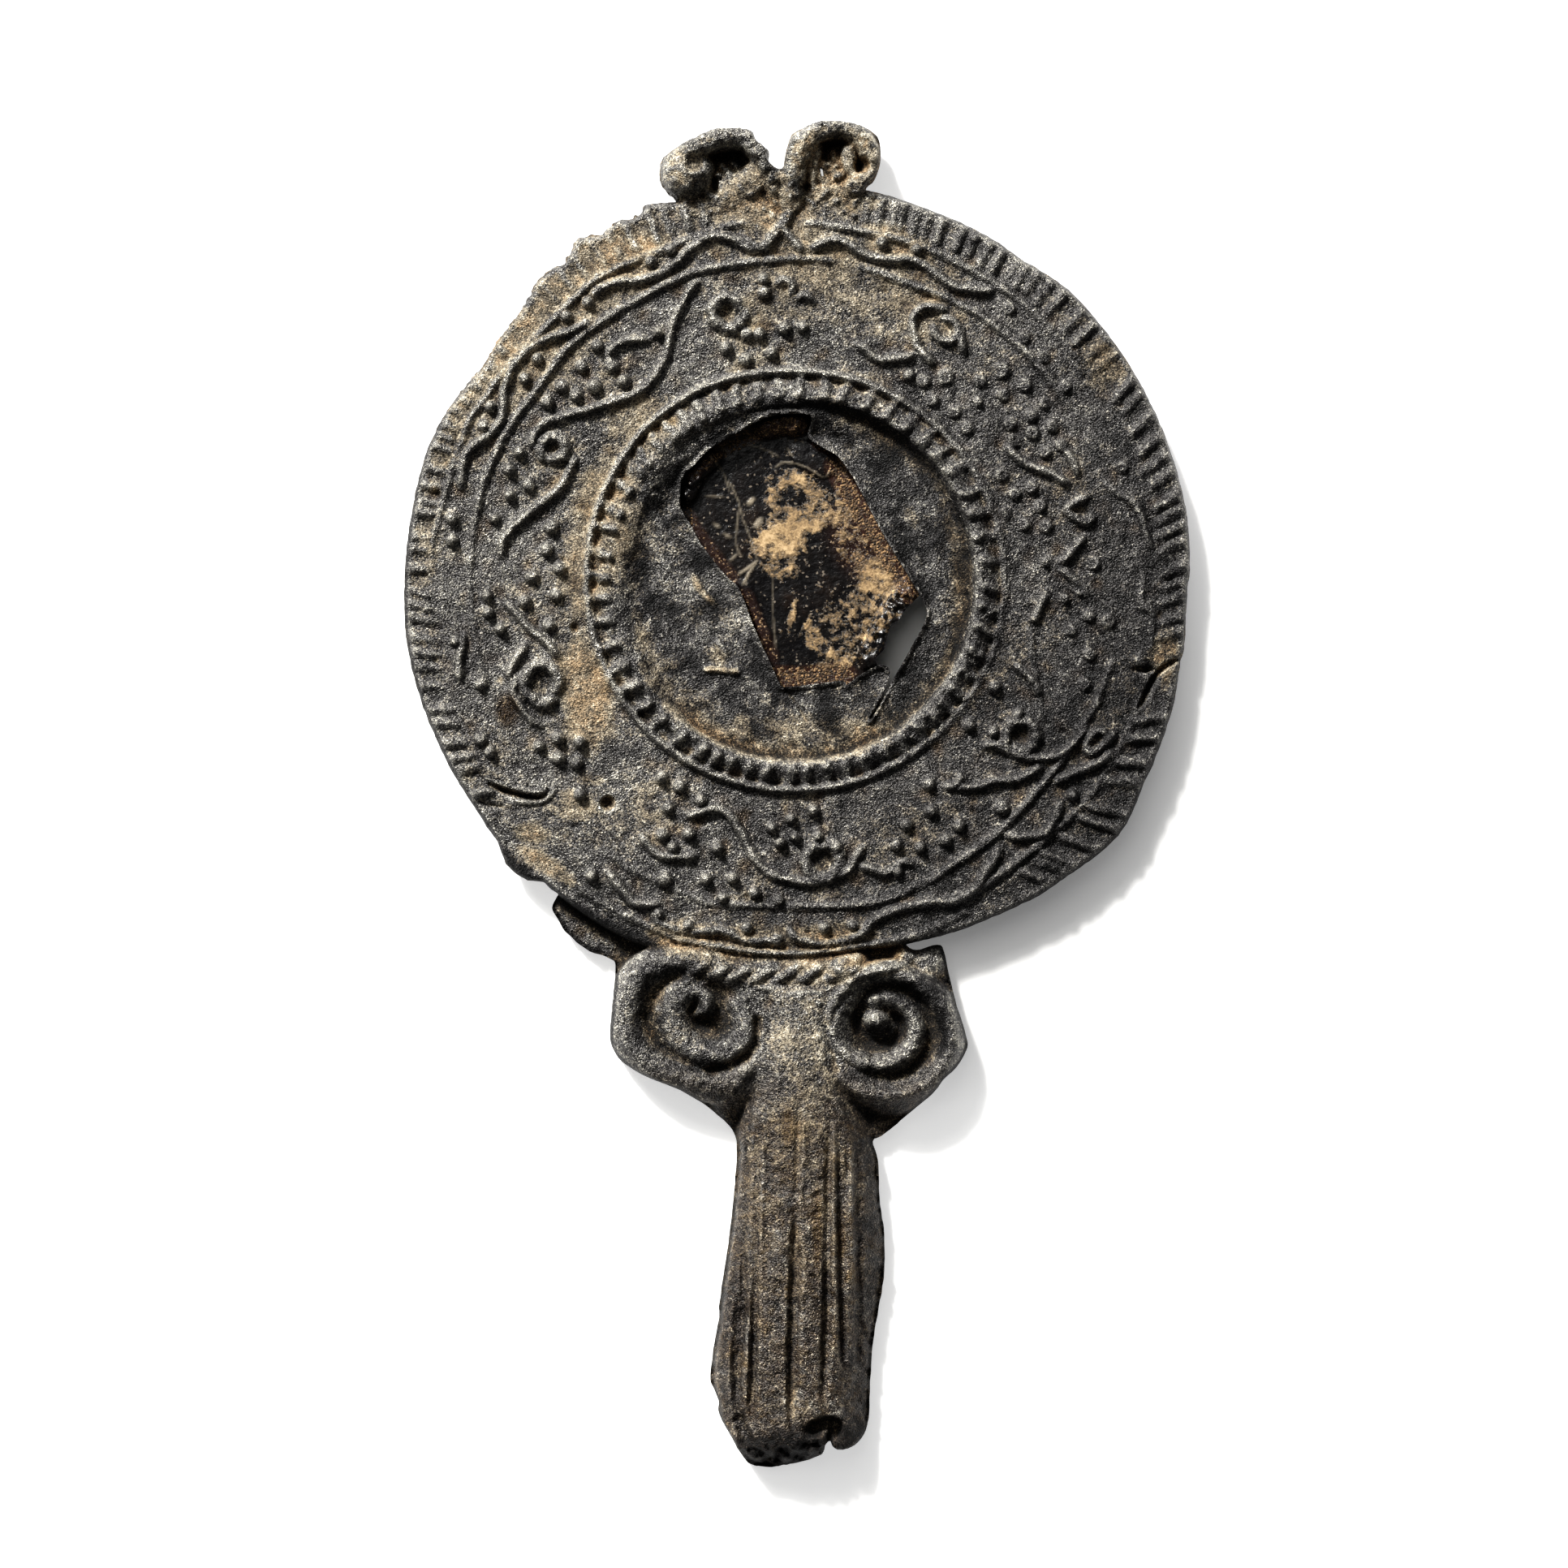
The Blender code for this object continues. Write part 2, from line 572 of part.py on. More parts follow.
def add_scroll(lead, side, outline, strap, tools):
    """One scroll: a thin backing, and a round strap that curls over it."""
    back = DISC_BACK - SCROLL_DROP
    outline = [above_disc(x, y) for x, y in outline]
    backing = plate(f"{side}_scroll_backing", outline, back, back + SCROLL_BACKING, tools)
    combine(lead, backing, "UNION")
    line = midway([above_disc(x, y, DISC_FACE + STRAP_LIFT) for x, y in strap])
    combine(lead, strokes(f"{side}_scroll_strap", [line], STRAP_RADIUS, tools, sides=8), "UNION")


def add_relief(lead, tools):
    """Everything that stands up from the disc's face."""
    combine(lead, mounds("rim_tongues", tongue_places(), tools, sides=4), "UNION")
    combine(lead, mounds("ring_beads", bead_places(), tools), "UNION")
    combine(lead, mounds("grapes", grape_places(), tools), "UNION")
    combine(lead, mounds("band_dots", band_dot_places(), tools), "UNION")
    combine(lead, strokes("wave", wave_lines(), STROKE_RADIUS, tools), "UNION")
    vine = [[in_vine(angle, share, DISC_FACE) for angle, share in stroke] for stroke in VINE_STROKES]
    combine(lead, strokes("vine", vine, STROKE_RADIUS, tools), "UNION")
    combine(lead, strokes("roses", rose_lines(), STROKE_RADIUS, tools, closed=True), "UNION")


def lead_casting(parts, tools):
    """Disc, field, ring, relief, scrolls, capital and handle: one pour of lead."""
    lead = lathed("lead_casting", disc_profile(), PATTERN_CENTRE, RING_SIDES, parts)
    edge = [on_disc(angle, edge_radius(angle)) for angle in range(0, 360, EDGE_STEP)]
    combine(lead, plate("worn_edge", edge, -1.0, DISC_FACE + 2, tools), "INTERSECT")
    window = in_field(WINDOW, FIELD_RADIUS)
    combine(lead, plate("torn_window", window, FIELD_BACK - 1, FIELD_FACE + 1, tools), "DIFFERENCE")
    add_stem(lead, tools)
    add_scroll(lead, "left", LEFT_SCROLL, LEFT_STRAP, tools)
    add_scroll(lead, "right", RIGHT_SCROLL, RIGHT_STRAP, tools)
    add_relief(lead, tools)
    lead.data.materials.append(finish("Lead, cast and corroded", LEAD_COLOUR, 0.2, 0.65))


def mirror_glass(parts, tools):
    """A shallow dome cut from blown glass, with one side broken away."""
    crown = FIELD_BACK - GLASS_GAP
    front = []
    for ring in range(GLASS_RINGS + 1):
        share = ring / GLASS_RINGS
        front.append((GLASS_RADIUS * share, crown - GLASS_DOME * share * share))
    back = [(radius, height - GLASS_THICKNESS) for radius, height in reversed(front)]
    glass = lathed("mirror_glass", front + back, PATTERN_CENTRE, RING_SIDES, parts)
    broken = in_field(GLASS_BREAK, GLASS_RADIUS)
    combine(glass, plate("glass_break", broken, -1.0, FIELD_BACK + 1, tools), "DIFFERENCE")
    glass.data.materials.append(finish("Mirror glass, dark", GLASS_COLOUR, 0.0, 0.15))


def main():
    for thing in list(bpy.data.objects):
        bpy.data.objects.remove(thing, do_unlink=True)
    parts = bpy.data.collections.new("lead_votive_mirror")
    tools = bpy.data.collections.new("cutters")
    bpy.context.scene.collection.children.link(parts)
    bpy.context.scene.collection.children.link(tools)
    lead_casting(parts, tools)
    mirror_glass(parts, tools)


main()
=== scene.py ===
"""Lead votive mirror, lying face up on a pale table, with its glass behind the torn field.

The casting is one thin pour of lead: a disc with a vine in relief, a ring of bars round a sunken
field, two curled scrolls at its head, and a capital with two volutes over a fluted handle. Its
blank is a fine sheet cut to the outline and thickened, and every form on it is modelled as a
height in millimetres. Lengths are millimetres, and places on the disc are clock angles and radii.
"""
import math

import bpy
import numpy as np
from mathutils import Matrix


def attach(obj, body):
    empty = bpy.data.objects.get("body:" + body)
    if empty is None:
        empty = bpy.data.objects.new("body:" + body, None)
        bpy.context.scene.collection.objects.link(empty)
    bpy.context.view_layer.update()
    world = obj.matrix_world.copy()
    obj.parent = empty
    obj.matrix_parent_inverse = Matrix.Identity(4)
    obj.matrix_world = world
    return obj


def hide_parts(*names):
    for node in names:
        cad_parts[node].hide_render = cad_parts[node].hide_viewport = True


MM = 0.001
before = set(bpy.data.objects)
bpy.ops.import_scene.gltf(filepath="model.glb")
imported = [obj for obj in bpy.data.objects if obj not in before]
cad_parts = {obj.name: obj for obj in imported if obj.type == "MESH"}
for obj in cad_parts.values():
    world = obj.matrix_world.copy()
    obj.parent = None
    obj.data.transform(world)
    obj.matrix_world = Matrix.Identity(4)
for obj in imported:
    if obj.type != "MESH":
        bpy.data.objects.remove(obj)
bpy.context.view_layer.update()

# The sheet that the heights are modelled on
PITCH = 0.1
BLANK_PITCH = 0.15
CASTING_TRIANGLES = 190_000
GLASS_TRIANGLES = 190_000
GRID_X = np.arange(-37.0, 37.0 + PITCH / 2, PITCH)
GRID_Y = np.arange(-61.5, 61.5 + PITCH / 2, PITCH)
X, Y = np.meshgrid(GRID_X, GRID_Y)

# Heights and radii of the casting and the glass; outside them the sheet lies at GROUND
DISC_FACE = 3.2
RIM_FACE = 3.0
FIELD_FACE = 2.5
FIELD_BACK = 2.0
DISC_BACK = 1.6
GLASS_CROWN = 1.7
GLASS_DOME = 0.6
GLASS_THICKNESS = 0.9
GLASS_RADIUS = 16.7
SEAT_RADIUS = 17.0
SEAT_WALL = 2.4
FLANGE_FACE = 1.25
NECK_FACE = 3.55
VOLUTE_FACE = 3.7
SCROLL_BACK = 1.1
TOP_LIMIT = 4.95
THINNEST = 0.25
GROUND = 1.2
NO_METAL = -9.0

# Radii of the worn edges, and the angle from which an edge stays crisp
EDGE_ROUND = 0.5
SCROLL_ROUND = 0.45
GLASS_ROUND = 0.12
CREASE_ANGLE = 55

# The camera hangs over the mirror, with a long lens
CAMERA_PLACE = (-1.154, 1.01, 525.5)
LENS = 135.0
FILM = 36.0

# Middle of the pattern on the disc
CENTRE = (-0.15, 18.9)

# The worn edge of the disc, by clock angle and radius
EDGE = (
    (0, 35.0), (5, 35.3), (10.5, 35.55), (20, 35.3), (30, 35.3), (35, 35.15), (43, 35.7), (50, 35.6),
    (60, 35.5), (70, 35.4), (80, 35.4), (88, 35.15), (91, 34.9), (95, 34.9), (100, 35.1), (101.5, 34.95),
    (107, 35.35), (115, 35.6), (120, 35.8), (125, 36.4), (128, 36.5), (132, 36.2), (137, 35.6),
    (142, 35.3), (145, 34.95), (150, 34.5), (155, 34.2), (160, 33.8), (165, 33.5), (169, 33.2),
    (175, 33.25), (182, 33.4), (190, 33.5), (197, 33.9), (200, 34.9), (205, 35.05), (210, 35.0),
    (215, 34.9), (220, 34.8), (222, 35.6), (224, 35.9), (226, 35.9), (229, 35.1), (235, 34.85),
    (245, 34.85), (255, 34.95), (262, 35.0), (270, 34.8), (280, 34.7), (290, 34.85), (296, 34.6),
    (300, 34.3), (303, 34.0), (305, 33.8), (307, 34.0), (310, 34.2), (314, 34.3), (316, 34.6),
    (318, 35.0), (319.5, 35.4), (322.5, 35.4), (324, 35.05), (325.5, 35.5), (327.5, 36.3), (329, 36.0),
    (330.5, 35.5), (334, 35.9), (336, 35.5), (337.4, 35.7), (338.5, 36.25), (341, 35.8), (344, 35.3),
    (350, 35.0), (360, 35.0),
)

# Outline of flange, volutes and handle, against the clock from the disc's lower left
STEM_OUTLINE = (
    (-19.5, -7.5), (-21.75, -9.7), (-21.3, -11.0), (-20.5, -12.3), (-18.75, -13.75), (-16.65, -14.55),
    (-16.2, -15.2), (-16.35, -17.7), (-16.65, -21.0), (-16.5, -22.4), (-15.6, -23.7), (-13.6, -24.95),
    (-10.3, -26.3), (-8.1, -27.7), (-6.4, -29.1), (-5.5, -30.4), (-5.4, -32.7), (-5.85, -37.7),
    (-6.35, -41.4), (-6.9, -45.1), (-6.95, -46.6), (-7.5, -49.5), (-7.7, -52.0), (-7.35, -53.0),
    (-6.95, -54.0), (-6.95, -55.1), (-5.85, -57.1), (-5.0, -58.6), (-4.2, -59.55), (-3.1, -59.85),
    (-1.0, -59.7), (1.2, -59.15), (2.3, -58.55), (2.55, -57.7), (3.0, -57.45), (3.15, -57.95),
    (3.75, -58.25), (4.9, -58.0), (5.85, -57.15), (6.35, -55.7), (6.55, -52.0), (6.8, -48.55),
    (7.2, -46.2), (7.75, -42.8), (7.8, -39.1), (7.4, -36.3), (7.2, -32.45), (6.75, -30.85),
    (7.5, -30.4), (8.45, -29.65), (10.1, -28.25), (12.05, -26.6), (13.1, -25.25), (14.3, -24.1),
    (15.2, -22.4), (15.05, -21.35), (14.3, -18.9), (13.7, -16.65), (13.1, -13.9), (12.5, -13.3),
    (10.0, -13.6), (7.5, -10.0), (0.0, -8.0), (-12.0, -6.5),
)
LEFT_SCROLL_OUTLINE = (
    (-9.8, 51.6), (-10.7, 52.9), (-11.8, 53.9), (-12.25, 55.1), (-12.05, 56.5), (-10.9, 57.55),
    (-9.1, 58.5), (-7.4, 59.25), (-5.6, 59.35), (-4.05, 59.1), (-3.7, 58.35), (-2.95, 57.7),
    (-2.45, 57.2), (-2.5, 56.4), (-1.75, 55.7), (-0.9, 55.4), (0.3, 50.5), (-5.0, 49.0),
)
RIGHT_SCROLL_OUTLINE = (
    (-3.0, 51.0), (-1.35, 55.4), (-1.05, 56.95), (-0.6, 58.55), (-0.15, 59.05), (1.2, 59.7),
    (2.8, 59.98), (4.7, 59.8), (6.3, 59.35), (7.2, 58.55), (7.45, 57.4), (7.35, 56.0), (6.8, 54.65),
    (6.05, 53.85), (5.0, 51.0),
)
SCROLL_SLIT = ((2.05, 55.95), (2.3, 55.75), (2.4, 55.0), (2.2, 55.0), (2.1, 55.3))

# The window torn in the field, with the clock from its top corner
WINDOW = (
    (1.3, 33.6), (1.0, 31.95), (2.0, 31.1), (3.6, 30.15), (4.9, 28.4), (6.0, 26.4), (7.7, 23.15),
    (10.0, 19.35), (11.45, 16.75), (11.35, 15.45), (9.85, 12.6), (8.25, 9.8), (6.75, 7.0), (6.6, 7.0),
    (7.85, 9.6), (8.25, 11.1), (7.7, 11.6), (6.95, 11.45), (5.4, 10.6), (4.4, 9.8), (4.1, 10.2),
    (1.6, 9.9), (-1.15, 9.65), (-1.55, 10.0), (-2.3, 11.6), (-3.8, 14.9), (-5.1, 18.3), (-6.1, 19.3),
    (-7.2, 20.6), (-8.5, 22.3), (-9.5, 24.1), (-10.35, 25.7), (-10.15, 28.3), (-9.2, 29.3),
    (-7.6, 30.9), (-5.0, 32.4), (-3.35, 33.3), (-1.8, 33.8), (0.3, 33.9),
)

# The side broken off the glass
GLASS_BREAK = (
    (12.8, 19.2), (11.6, 18.6), (10.6, 17.5), (9.7, 16.6), (8.9, 15.4), (8.4, 15.1), (8.0, 14.1),
    (7.75, 13.0), (7.0, 12.2), (7.2, 11.4), (6.8, 10.4), (7.2, 8.9), (8.9, 6.2), (10.2, 3.2),
    (11.5, -1.5), (24.0, -2.0), (24.0, 20.0),
)

# Crest of the ridge round the bars, by clock angle: radius and rise
RING_CREST = (
    (0, 18.75, 0.62), (20, 18.75, 0.6), (40, 18.7, 0.5), (62, 18.65, 0.32), (90, 18.6, 0.2),
    (125, 18.5, 0.24), (150, 18.4, 0.42), (180, 18.4, 0.62), (200, 18.45, 0.62), (222, 18.55, 0.6),
    (240, 18.5, 0.5), (260, 18.5, 0.45), (275, 18.55, 0.5), (290, 18.75, 0.58), (305, 18.9, 0.6),
    (315, 19.1, 0.6), (335, 19.15, 0.62), (350, 18.85, 0.62), (360, 18.75, 0.62),
)
RING_BARS = (
    1, 8, 15.2, 22, 28.7, 35.2, 42, 48.5, 55, 62.3, 69.5, 76.5, 84, 91.5, 98, 104.5, 111, 117.5, 123.5,
    129, 134.5, 141, 146.5, 153, 158.5, 164.5, 170.5, 176.5, 182.5, 188.5, 194.5, 199.5, 204.7, 210.5,
    217, 224.5, 231, 237.7, 243.5, 251, 258.3, 265.2, 272, 278.5, 285.5, 292.3, 299, 305.5, 310.5,
    315.2, 320, 325.3, 331, 337, 343, 349, 355,
)

# The two lines that bound the running wave, by clock angle, radius and rise
INNER_LINE = (
    ((99.7, 21.3, 0.5), (105, 21.7, 0.4), (113.5, 23.4, 0.4), (119, 25.2, 0.4)),
    ((-6, 28.75, 0.9), (0, 28.8, 0.9), (5, 28.8, 0.6), (9, 28.75, 0.1)),
    ((11, 28.65, 0.2), (14, 28.6, 0.8), (20, 28.4, 0.9), (25, 28.55, 1.0), (30, 28.7, 1.0),
     (35, 28.9, 1.0), (44, 28.95, 0.9), (52, 28.9, 0.7), (57, 28.8, 0.2)),
    ((103, 28.9, 0.2), (105, 28.9, 0.6), (112, 28.8, 0.7), (117, 28.45, 0.8), (124, 28.45, 0.9),
     (138, 28.5, 0.9), (145, 28.6, 0.9), (152, 28.75, 0.8), (157, 29.0, 0.6), (168, 29.2, 0.8),
     (192, 29.2, 0.7), (200, 29.25, 0.5), (208, 29.3, 0.7), (216, 29.35, 0.3)),
    ((228, 29.2, 0.15), (236, 29.1, 0.35), (246, 29.0, 0.4), (258, 28.95, 0.35), (268, 28.9, 0.4),
     (276, 28.95, 0.5), (284, 29.05, 0.9), (290, 29.1, 1.0), (300, 28.9, 1.0), (304, 28.65, 1.0),
     (310, 28.75, 1.0), (320, 29.0, 1.0), (340, 29.0, 0.9), (354, 28.8, 0.9)),
)
OUTER_LINE = (
    ((71.5, 28.9, 0.5), (74, 29.5, 0.8), (77, 31.0, 0.9), (81.5, 31.4, 0.9), (85, 31.9, 0.4)),
    ((88.5, 30.9, 0.4), (93.3, 30.8, 0.8), (95.2, 31.9, 0.8), (101, 32.1, 0.4)),
    ((1, 32.0, 0.5), (6, 31.9, 0.9), (20, 31.9, 0.9), (34, 31.95, 0.9), (42, 32.0, 0.5),
     (52, 32.1, 0.25)),
    ((108, 32.4, 0.3), (114, 32.4, 0.5), (126, 32.3, 0.5), (137, 31.8, 0.8), (147, 31.7, 0.8),
     (152, 32.1, 0.4)),
    ((152, 33.0, 0.3), (160, 33.0, 0.7), (170, 32.85, 1.0), (182, 33.05, 1.1), (195, 33.1, 1.0),
     (200, 33.2, 0.9), (212, 33.25, 0.5), (222, 33.0, 0.2)),
    ((272, 32.4, 0.2), (278, 32.4, 0.7), (295, 32.35, 0.9), (300, 32.1, 1.0), (306, 31.95, 1.1),
     (323, 32.05, 1.1), (330, 32.15, 1.0), (347, 32.15, 0.9), (353, 32.3, 0.5)),
)

# The running wave between the lines
WAVE = (
    ((-8.5, 30.9), (-7, 30.2), (-5.5, 29.9), (-4.5, 30.3), (-3, 31.2), (-1.6, 32.1), (-0.5, 33.2)),
    ((-2.5, 31.8), (-1, 30.8), (0.5, 29.9), (1.5, 29.3)),
    ((2.5, 29.6), (5, 30.35), (7, 30.6), (9, 30.4), (11, 29.9), (14, 29.7), (17, 30.0), (19, 30.4),
     (21, 30.5), (25, 30.1), (27, 29.9), (29, 30.0), (31, 30.4), (33, 30.9), (34, 31.4)),
    ((118, 31.8), (120, 31.5), (122, 30.8), (124, 30.1), (126, 29.5), (127.5, 29.1)),
    ((115, 31.3), (117.5, 31.0), (119.5, 30.5), (120, 30.0), (118.5, 29.6), (116.5, 29.7), (115.8, 30.3),
     (116.3, 30.9)),
    ((129.5, 30.5), (131, 30.9), (133, 31.3), (135, 31.4), (137, 30.8), (139, 29.9), (140, 29.2)),
    ((142.5, 29.8), (144.5, 30.3), (147, 30.8), (149, 31.4), (151, 31.6), (154, 31.5), (156.5, 30.9),
     (159, 30.6), (162, 30.4), (165, 30.5), (167.5, 30.9), (169.5, 31.8), (172, 32.1), (175, 32.2),
     (177.5, 32.0), (180, 31.5), (181, 30.9)),
    ((182, 31.6), (186, 32.0), (188, 32.1), (192, 31.6), (196, 32.3), (199, 32.6), (203, 32.5)),
    ((203, 31), (205, 31.5), (207, 31.8), (209, 31.4), (211, 30.9), (213, 30.6)),
    ((254, 31), (257, 30.7), (259, 30.2), (261, 29.9)),
    ((286, 30.9), (289, 31.3), (291, 31.4), (293, 31.1), (295, 30.4), (297, 30.0), (299, 29.9),
     (301, 30.3), (303, 30.9), (305, 31.3), (307, 31.6), (310, 31.6), (312, 31.4), (314, 31.0),
     (316, 30.5), (318, 30.0), (320, 29.7), (322, 29.5)),
    ((324.5, 31.2), (326, 31.3), (328, 31.2), (330, 30.9), (332, 30.4), (334, 30.1), (336, 30.0),
     (338, 30.1), (340, 30.4), (342, 31.0), (344, 31.4), (346, 31.7), (348, 31.5), (350, 30.9),
     (351.5, 30.2), (353, 29.9), (355, 30.3), (356.5, 31.2), (358, 32.2), (359.5, 33.3)),
    ((357.5, 31.8), (359, 30.8), (360.5, 29.9), (361.5, 29.3)),
)
BAND_DOTS = (
    (14.3, 31.2), (20, 31.5), (38, 30.9), (43, 29.7), (47.8, 29.8), (54, 29.6), (70.5, 30.8),
    (102.5, 31.4), (127.5, 31), (170.5, 30.8), (175.2, 30.8), (183, 31.8), (188, 31), (193, 28.7),
    (197.3, 32),
    (202.5, 31.9), (214.8, 31.7), (241, 31), (243.5, 31.2), (252, 29.3), (260.3, 30.6), (277, 30.7),
    (280.5, 31), (296.7, 31), (300, 31.2), (307, 30.1), (311, 30.3), (319.3, 31.2), (323.5, 31),
    (335.7, 31.3), (339.5, 31.6),
)

# Stems, tendrils and leaves of the vine
VINE = (
    ((14, 22.0), (17, 21.6), (19, 21.2), (21, 21.2), (23.5, 21.6), (26, 22.2), (27.5, 22.8)),
    ((29, 27.7), (26, 27.3), (24.3, 26.6), (24, 25.7), (24.8, 24.8), (26, 24.3), (27.5, 23.6), (32, 23)),
    ((28.3, 25.9), (29.5, 25.3), (31.5, 25.2), (33, 25.7), (33, 26.6), (31.5, 27.1), (28.8, 26.9)),
    ((33, 26.8), (35, 25.8), (36.5, 25.3)),
    ((57, 22.3), (61, 22.7), (64, 23.5), (67, 24.7), (70, 25.7)),
    ((64, 26.7), (66.5, 26.9), (69, 26.8)),
    ((73.5, 27), (74, 26), (74.8, 25), (76.5, 25.3), (78.3, 26.3), (77.5, 27.2)),
    ((81, 26), (82.5, 25.2), (84.5, 24.3), (86, 23.5)),
    ((86.9, 23.6), (89, 24.6), (92.3, 25.9)),
    ((131.2, 22.1), (129, 22.8), (128.2, 24.4), (126.5, 26.2), (124.5, 27.4), (122.3, 28.2),
     (119.5, 28.6), (116.2, 28.9)),
    ((92.5, 22.3), (96, 21.8), (100, 21.3)),
    ((115, 24), (112, 22.5), (110.5, 20.8)),
    ((126.5, 27.3), (129, 26.8), (131.5, 26.4), (133.5, 25.5), (135.5, 24.8), (138, 24.4),
     (142, 23.1)),
    ((139, 22.4), (140.5, 22.9), (142.5, 22.8), (144, 22.3)),
    ((157.5, 27.0), (159, 26.6), (161, 26.9), (163, 27.0), (164.5, 26.5), (167, 25.8)),
    ((165.5, 24.2), (167.5, 24.9), (169, 25.8), (171, 26.2), (174, 26.5), (177, 26.7), (181, 26.4),
     (185, 25.9), (188, 24.9), (190, 23.9), (192, 22.8), (194, 22.0), (196, 21.4), (199, 21.3),
     (201, 21.6), (203, 22.3), (205, 22.9)),
    ((200, 25.8), (203, 26.5), (206, 27), (209, 26.8), (211.5, 26.3)),
    ((240.5, 25.8), (243, 26.5), (246, 26.8), (249, 26.9), (251.5, 26)),
    ((251.5, 26.8), (253.5, 26.3), (255.5, 25.3), (257, 24.6)),
    ((253, 22.1), (256, 22.6), (259, 23.5), (261.5, 24.3), (264, 25), (266, 25.8)),
    ((275, 26.2), (277, 26.3), (279, 26.1), (281, 25.6), (283, 25.0), (285, 24.3), (287, 23.7),
     (289, 23.2), (291, 22.7), (293, 22.45), (296, 22.4), (299.5, 22.45)),
    ((297, 26.3), (299, 26.6), (301, 26.6), (303, 26.3), (305, 25.5), (307, 24.9), (309, 24.2),
     (311, 23.6), (313, 23.2), (315, 22.8), (318, 22.2), (320, 22.0), (322, 21.9), (324, 22.0),
     (326, 22.2), (328, 22.6), (330, 23.1), (332, 24.0), (334, 25.1), (336, 26.0), (338, 26.8),
     (340, 27.6), (342, 28.2)),
    ((320.5, 26.1), (322.5, 26.4), (325, 26.2), (327, 25.8), (329, 25.2)),
    ((356.5, 26.7), (358, 26.9), (359.5, 26.4), (359, 25.6)),
    ((360.5, 25.3), (362, 25.5), (363.5, 25.0)),
)
# Curled buds of the vine: clock angle, radius, size across, and the angle where the ring is open
ROSES = (
    (124.3, 24.4, 1.45, 200), (174.7, 24.8, 1.65, 0), (248.5, 24.1, 1.7, 120), (299, 24.5, 1.1, 200),
    (346, 24.8, 1.45, 60),
)
# Grapes: clock angle, radius and width
GRAPES = (
    (36, 22.6, 1.4), (32.3, 21.3, 1.2), (28.8, 21.0, 1), (37, 20.3, 1), (43, 20.7, 1), (44.2, 26.3, 1.4),
    (42.5, 24.3, 1), (49.3, 26.9, 1.1), (54.3, 27.3, 1), (48, 24.9, 1), (54.7, 25.6, 1.1),
    (57.7, 24.9, 1.1), (53.5, 23.7, 1.1), (57, 23.1, 1.1), (62.5, 25, 1), (58.7, 26.7, 1),
    (62.8, 26.6, 1), (45.3, 22.8, 0.8), (62.5, 20.7, 1.1), (68, 22.6, 1.1), (72.5, 22.8, 1.1),
    (77.3, 22.8, 1.1), (68, 21.0, 1), (75.8, 21.0, 1), (71.5, 19.7, 1), (85.3, 22.4, 1), (48, 20.5, 1),
    (86.3, 26.6, 1.1), (97, 28, 1.2), (96.5, 26.2, 1), (99.8, 24.8, 1), (93.4, 23.9, 0.9),
    (91.2, 25.3, 1.3), (103.7, 26.9, 1.1), (109.3, 27.2, 1.1), (120.5, 22.9, 1), (127, 22, 1),
    (117.8, 20, 1.1), (129.5, 20, 1), (137.5, 27.1, 1.4), (146, 26, 1.1), (149.8, 26.5, 1.1),
    (154.8, 26, 1), (149.3, 23.6, 1.1), (155.3, 23.7, 1), (159, 25, 1), (160.5, 27.2, 1),
    (146.5, 21.5, 1), (175, 22.6, 1), (180, 22.6, 0.9), (175.5, 20.3, 1), (181, 21, 0.9),
    (183, 28.3, 1), (187.5, 27.8, 1), (192, 26.8, 1), (196.8, 27.5, 1), (196.3, 24.6, 1),
    (204.8, 25.9, 1), (207.8, 25.3, 1.1), (203, 24.3, 1), (209.5, 23, 1), (203.5, 21.1, 1),
    (209.5, 20.8, 1.1), (214.5, 21, 1.1), (183.3, 23.2, 0.9), (185.5, 21.9, 0.9), (203.8, 28.8, 1.3),
    (225.5, 26.8, 1.1), (230.5, 25.2, 1.1), (233.5, 26.2, 1.1), (236.8, 25.2, 1.1), (237.5, 27, 1),
    (233.5, 23.8, 1.1), (260.2, 22.2, 1.1), (266, 24.1, 1.1), (271.3, 23.4, 1.1), (267, 21.3, 1.1),
    (273.5, 21.0, 1.1), (277.5, 22.3, 1.1), (282.8, 22.2, 1.2), (261, 26.5, 0.9), (264.3, 27.4, 0.9),
    (267.5, 27.4, 0.9), (282, 27.3, 0.9), (287, 26.5, 0.9), (291.5, 27.3, 1), (295.3, 27.1, 1),
    (290, 25.2, 1.1), (306, 27.2, 1.1), (310, 27.1, 1.1), (315.3, 27, 1.1), (310.5, 25.6, 1.1),
    (314.3, 24.9, 1.2), (320, 27.4, 1), (319.7, 25.2, 1.2), (319.6, 23.5, 1.1), (331.1, 25.3, 0.9),
    (354, 27.1, 1), (353.8, 25.9, 1.1), (343.5, 21.7, 1.1), (349, 22.5, 1.1), (351.7, 22.3, 1.1),
    (357.5, 22.6, 1.1), (361.5, 22.7, 1), (347.5, 20.3, 1.1), (354, 20.5, 1),
)

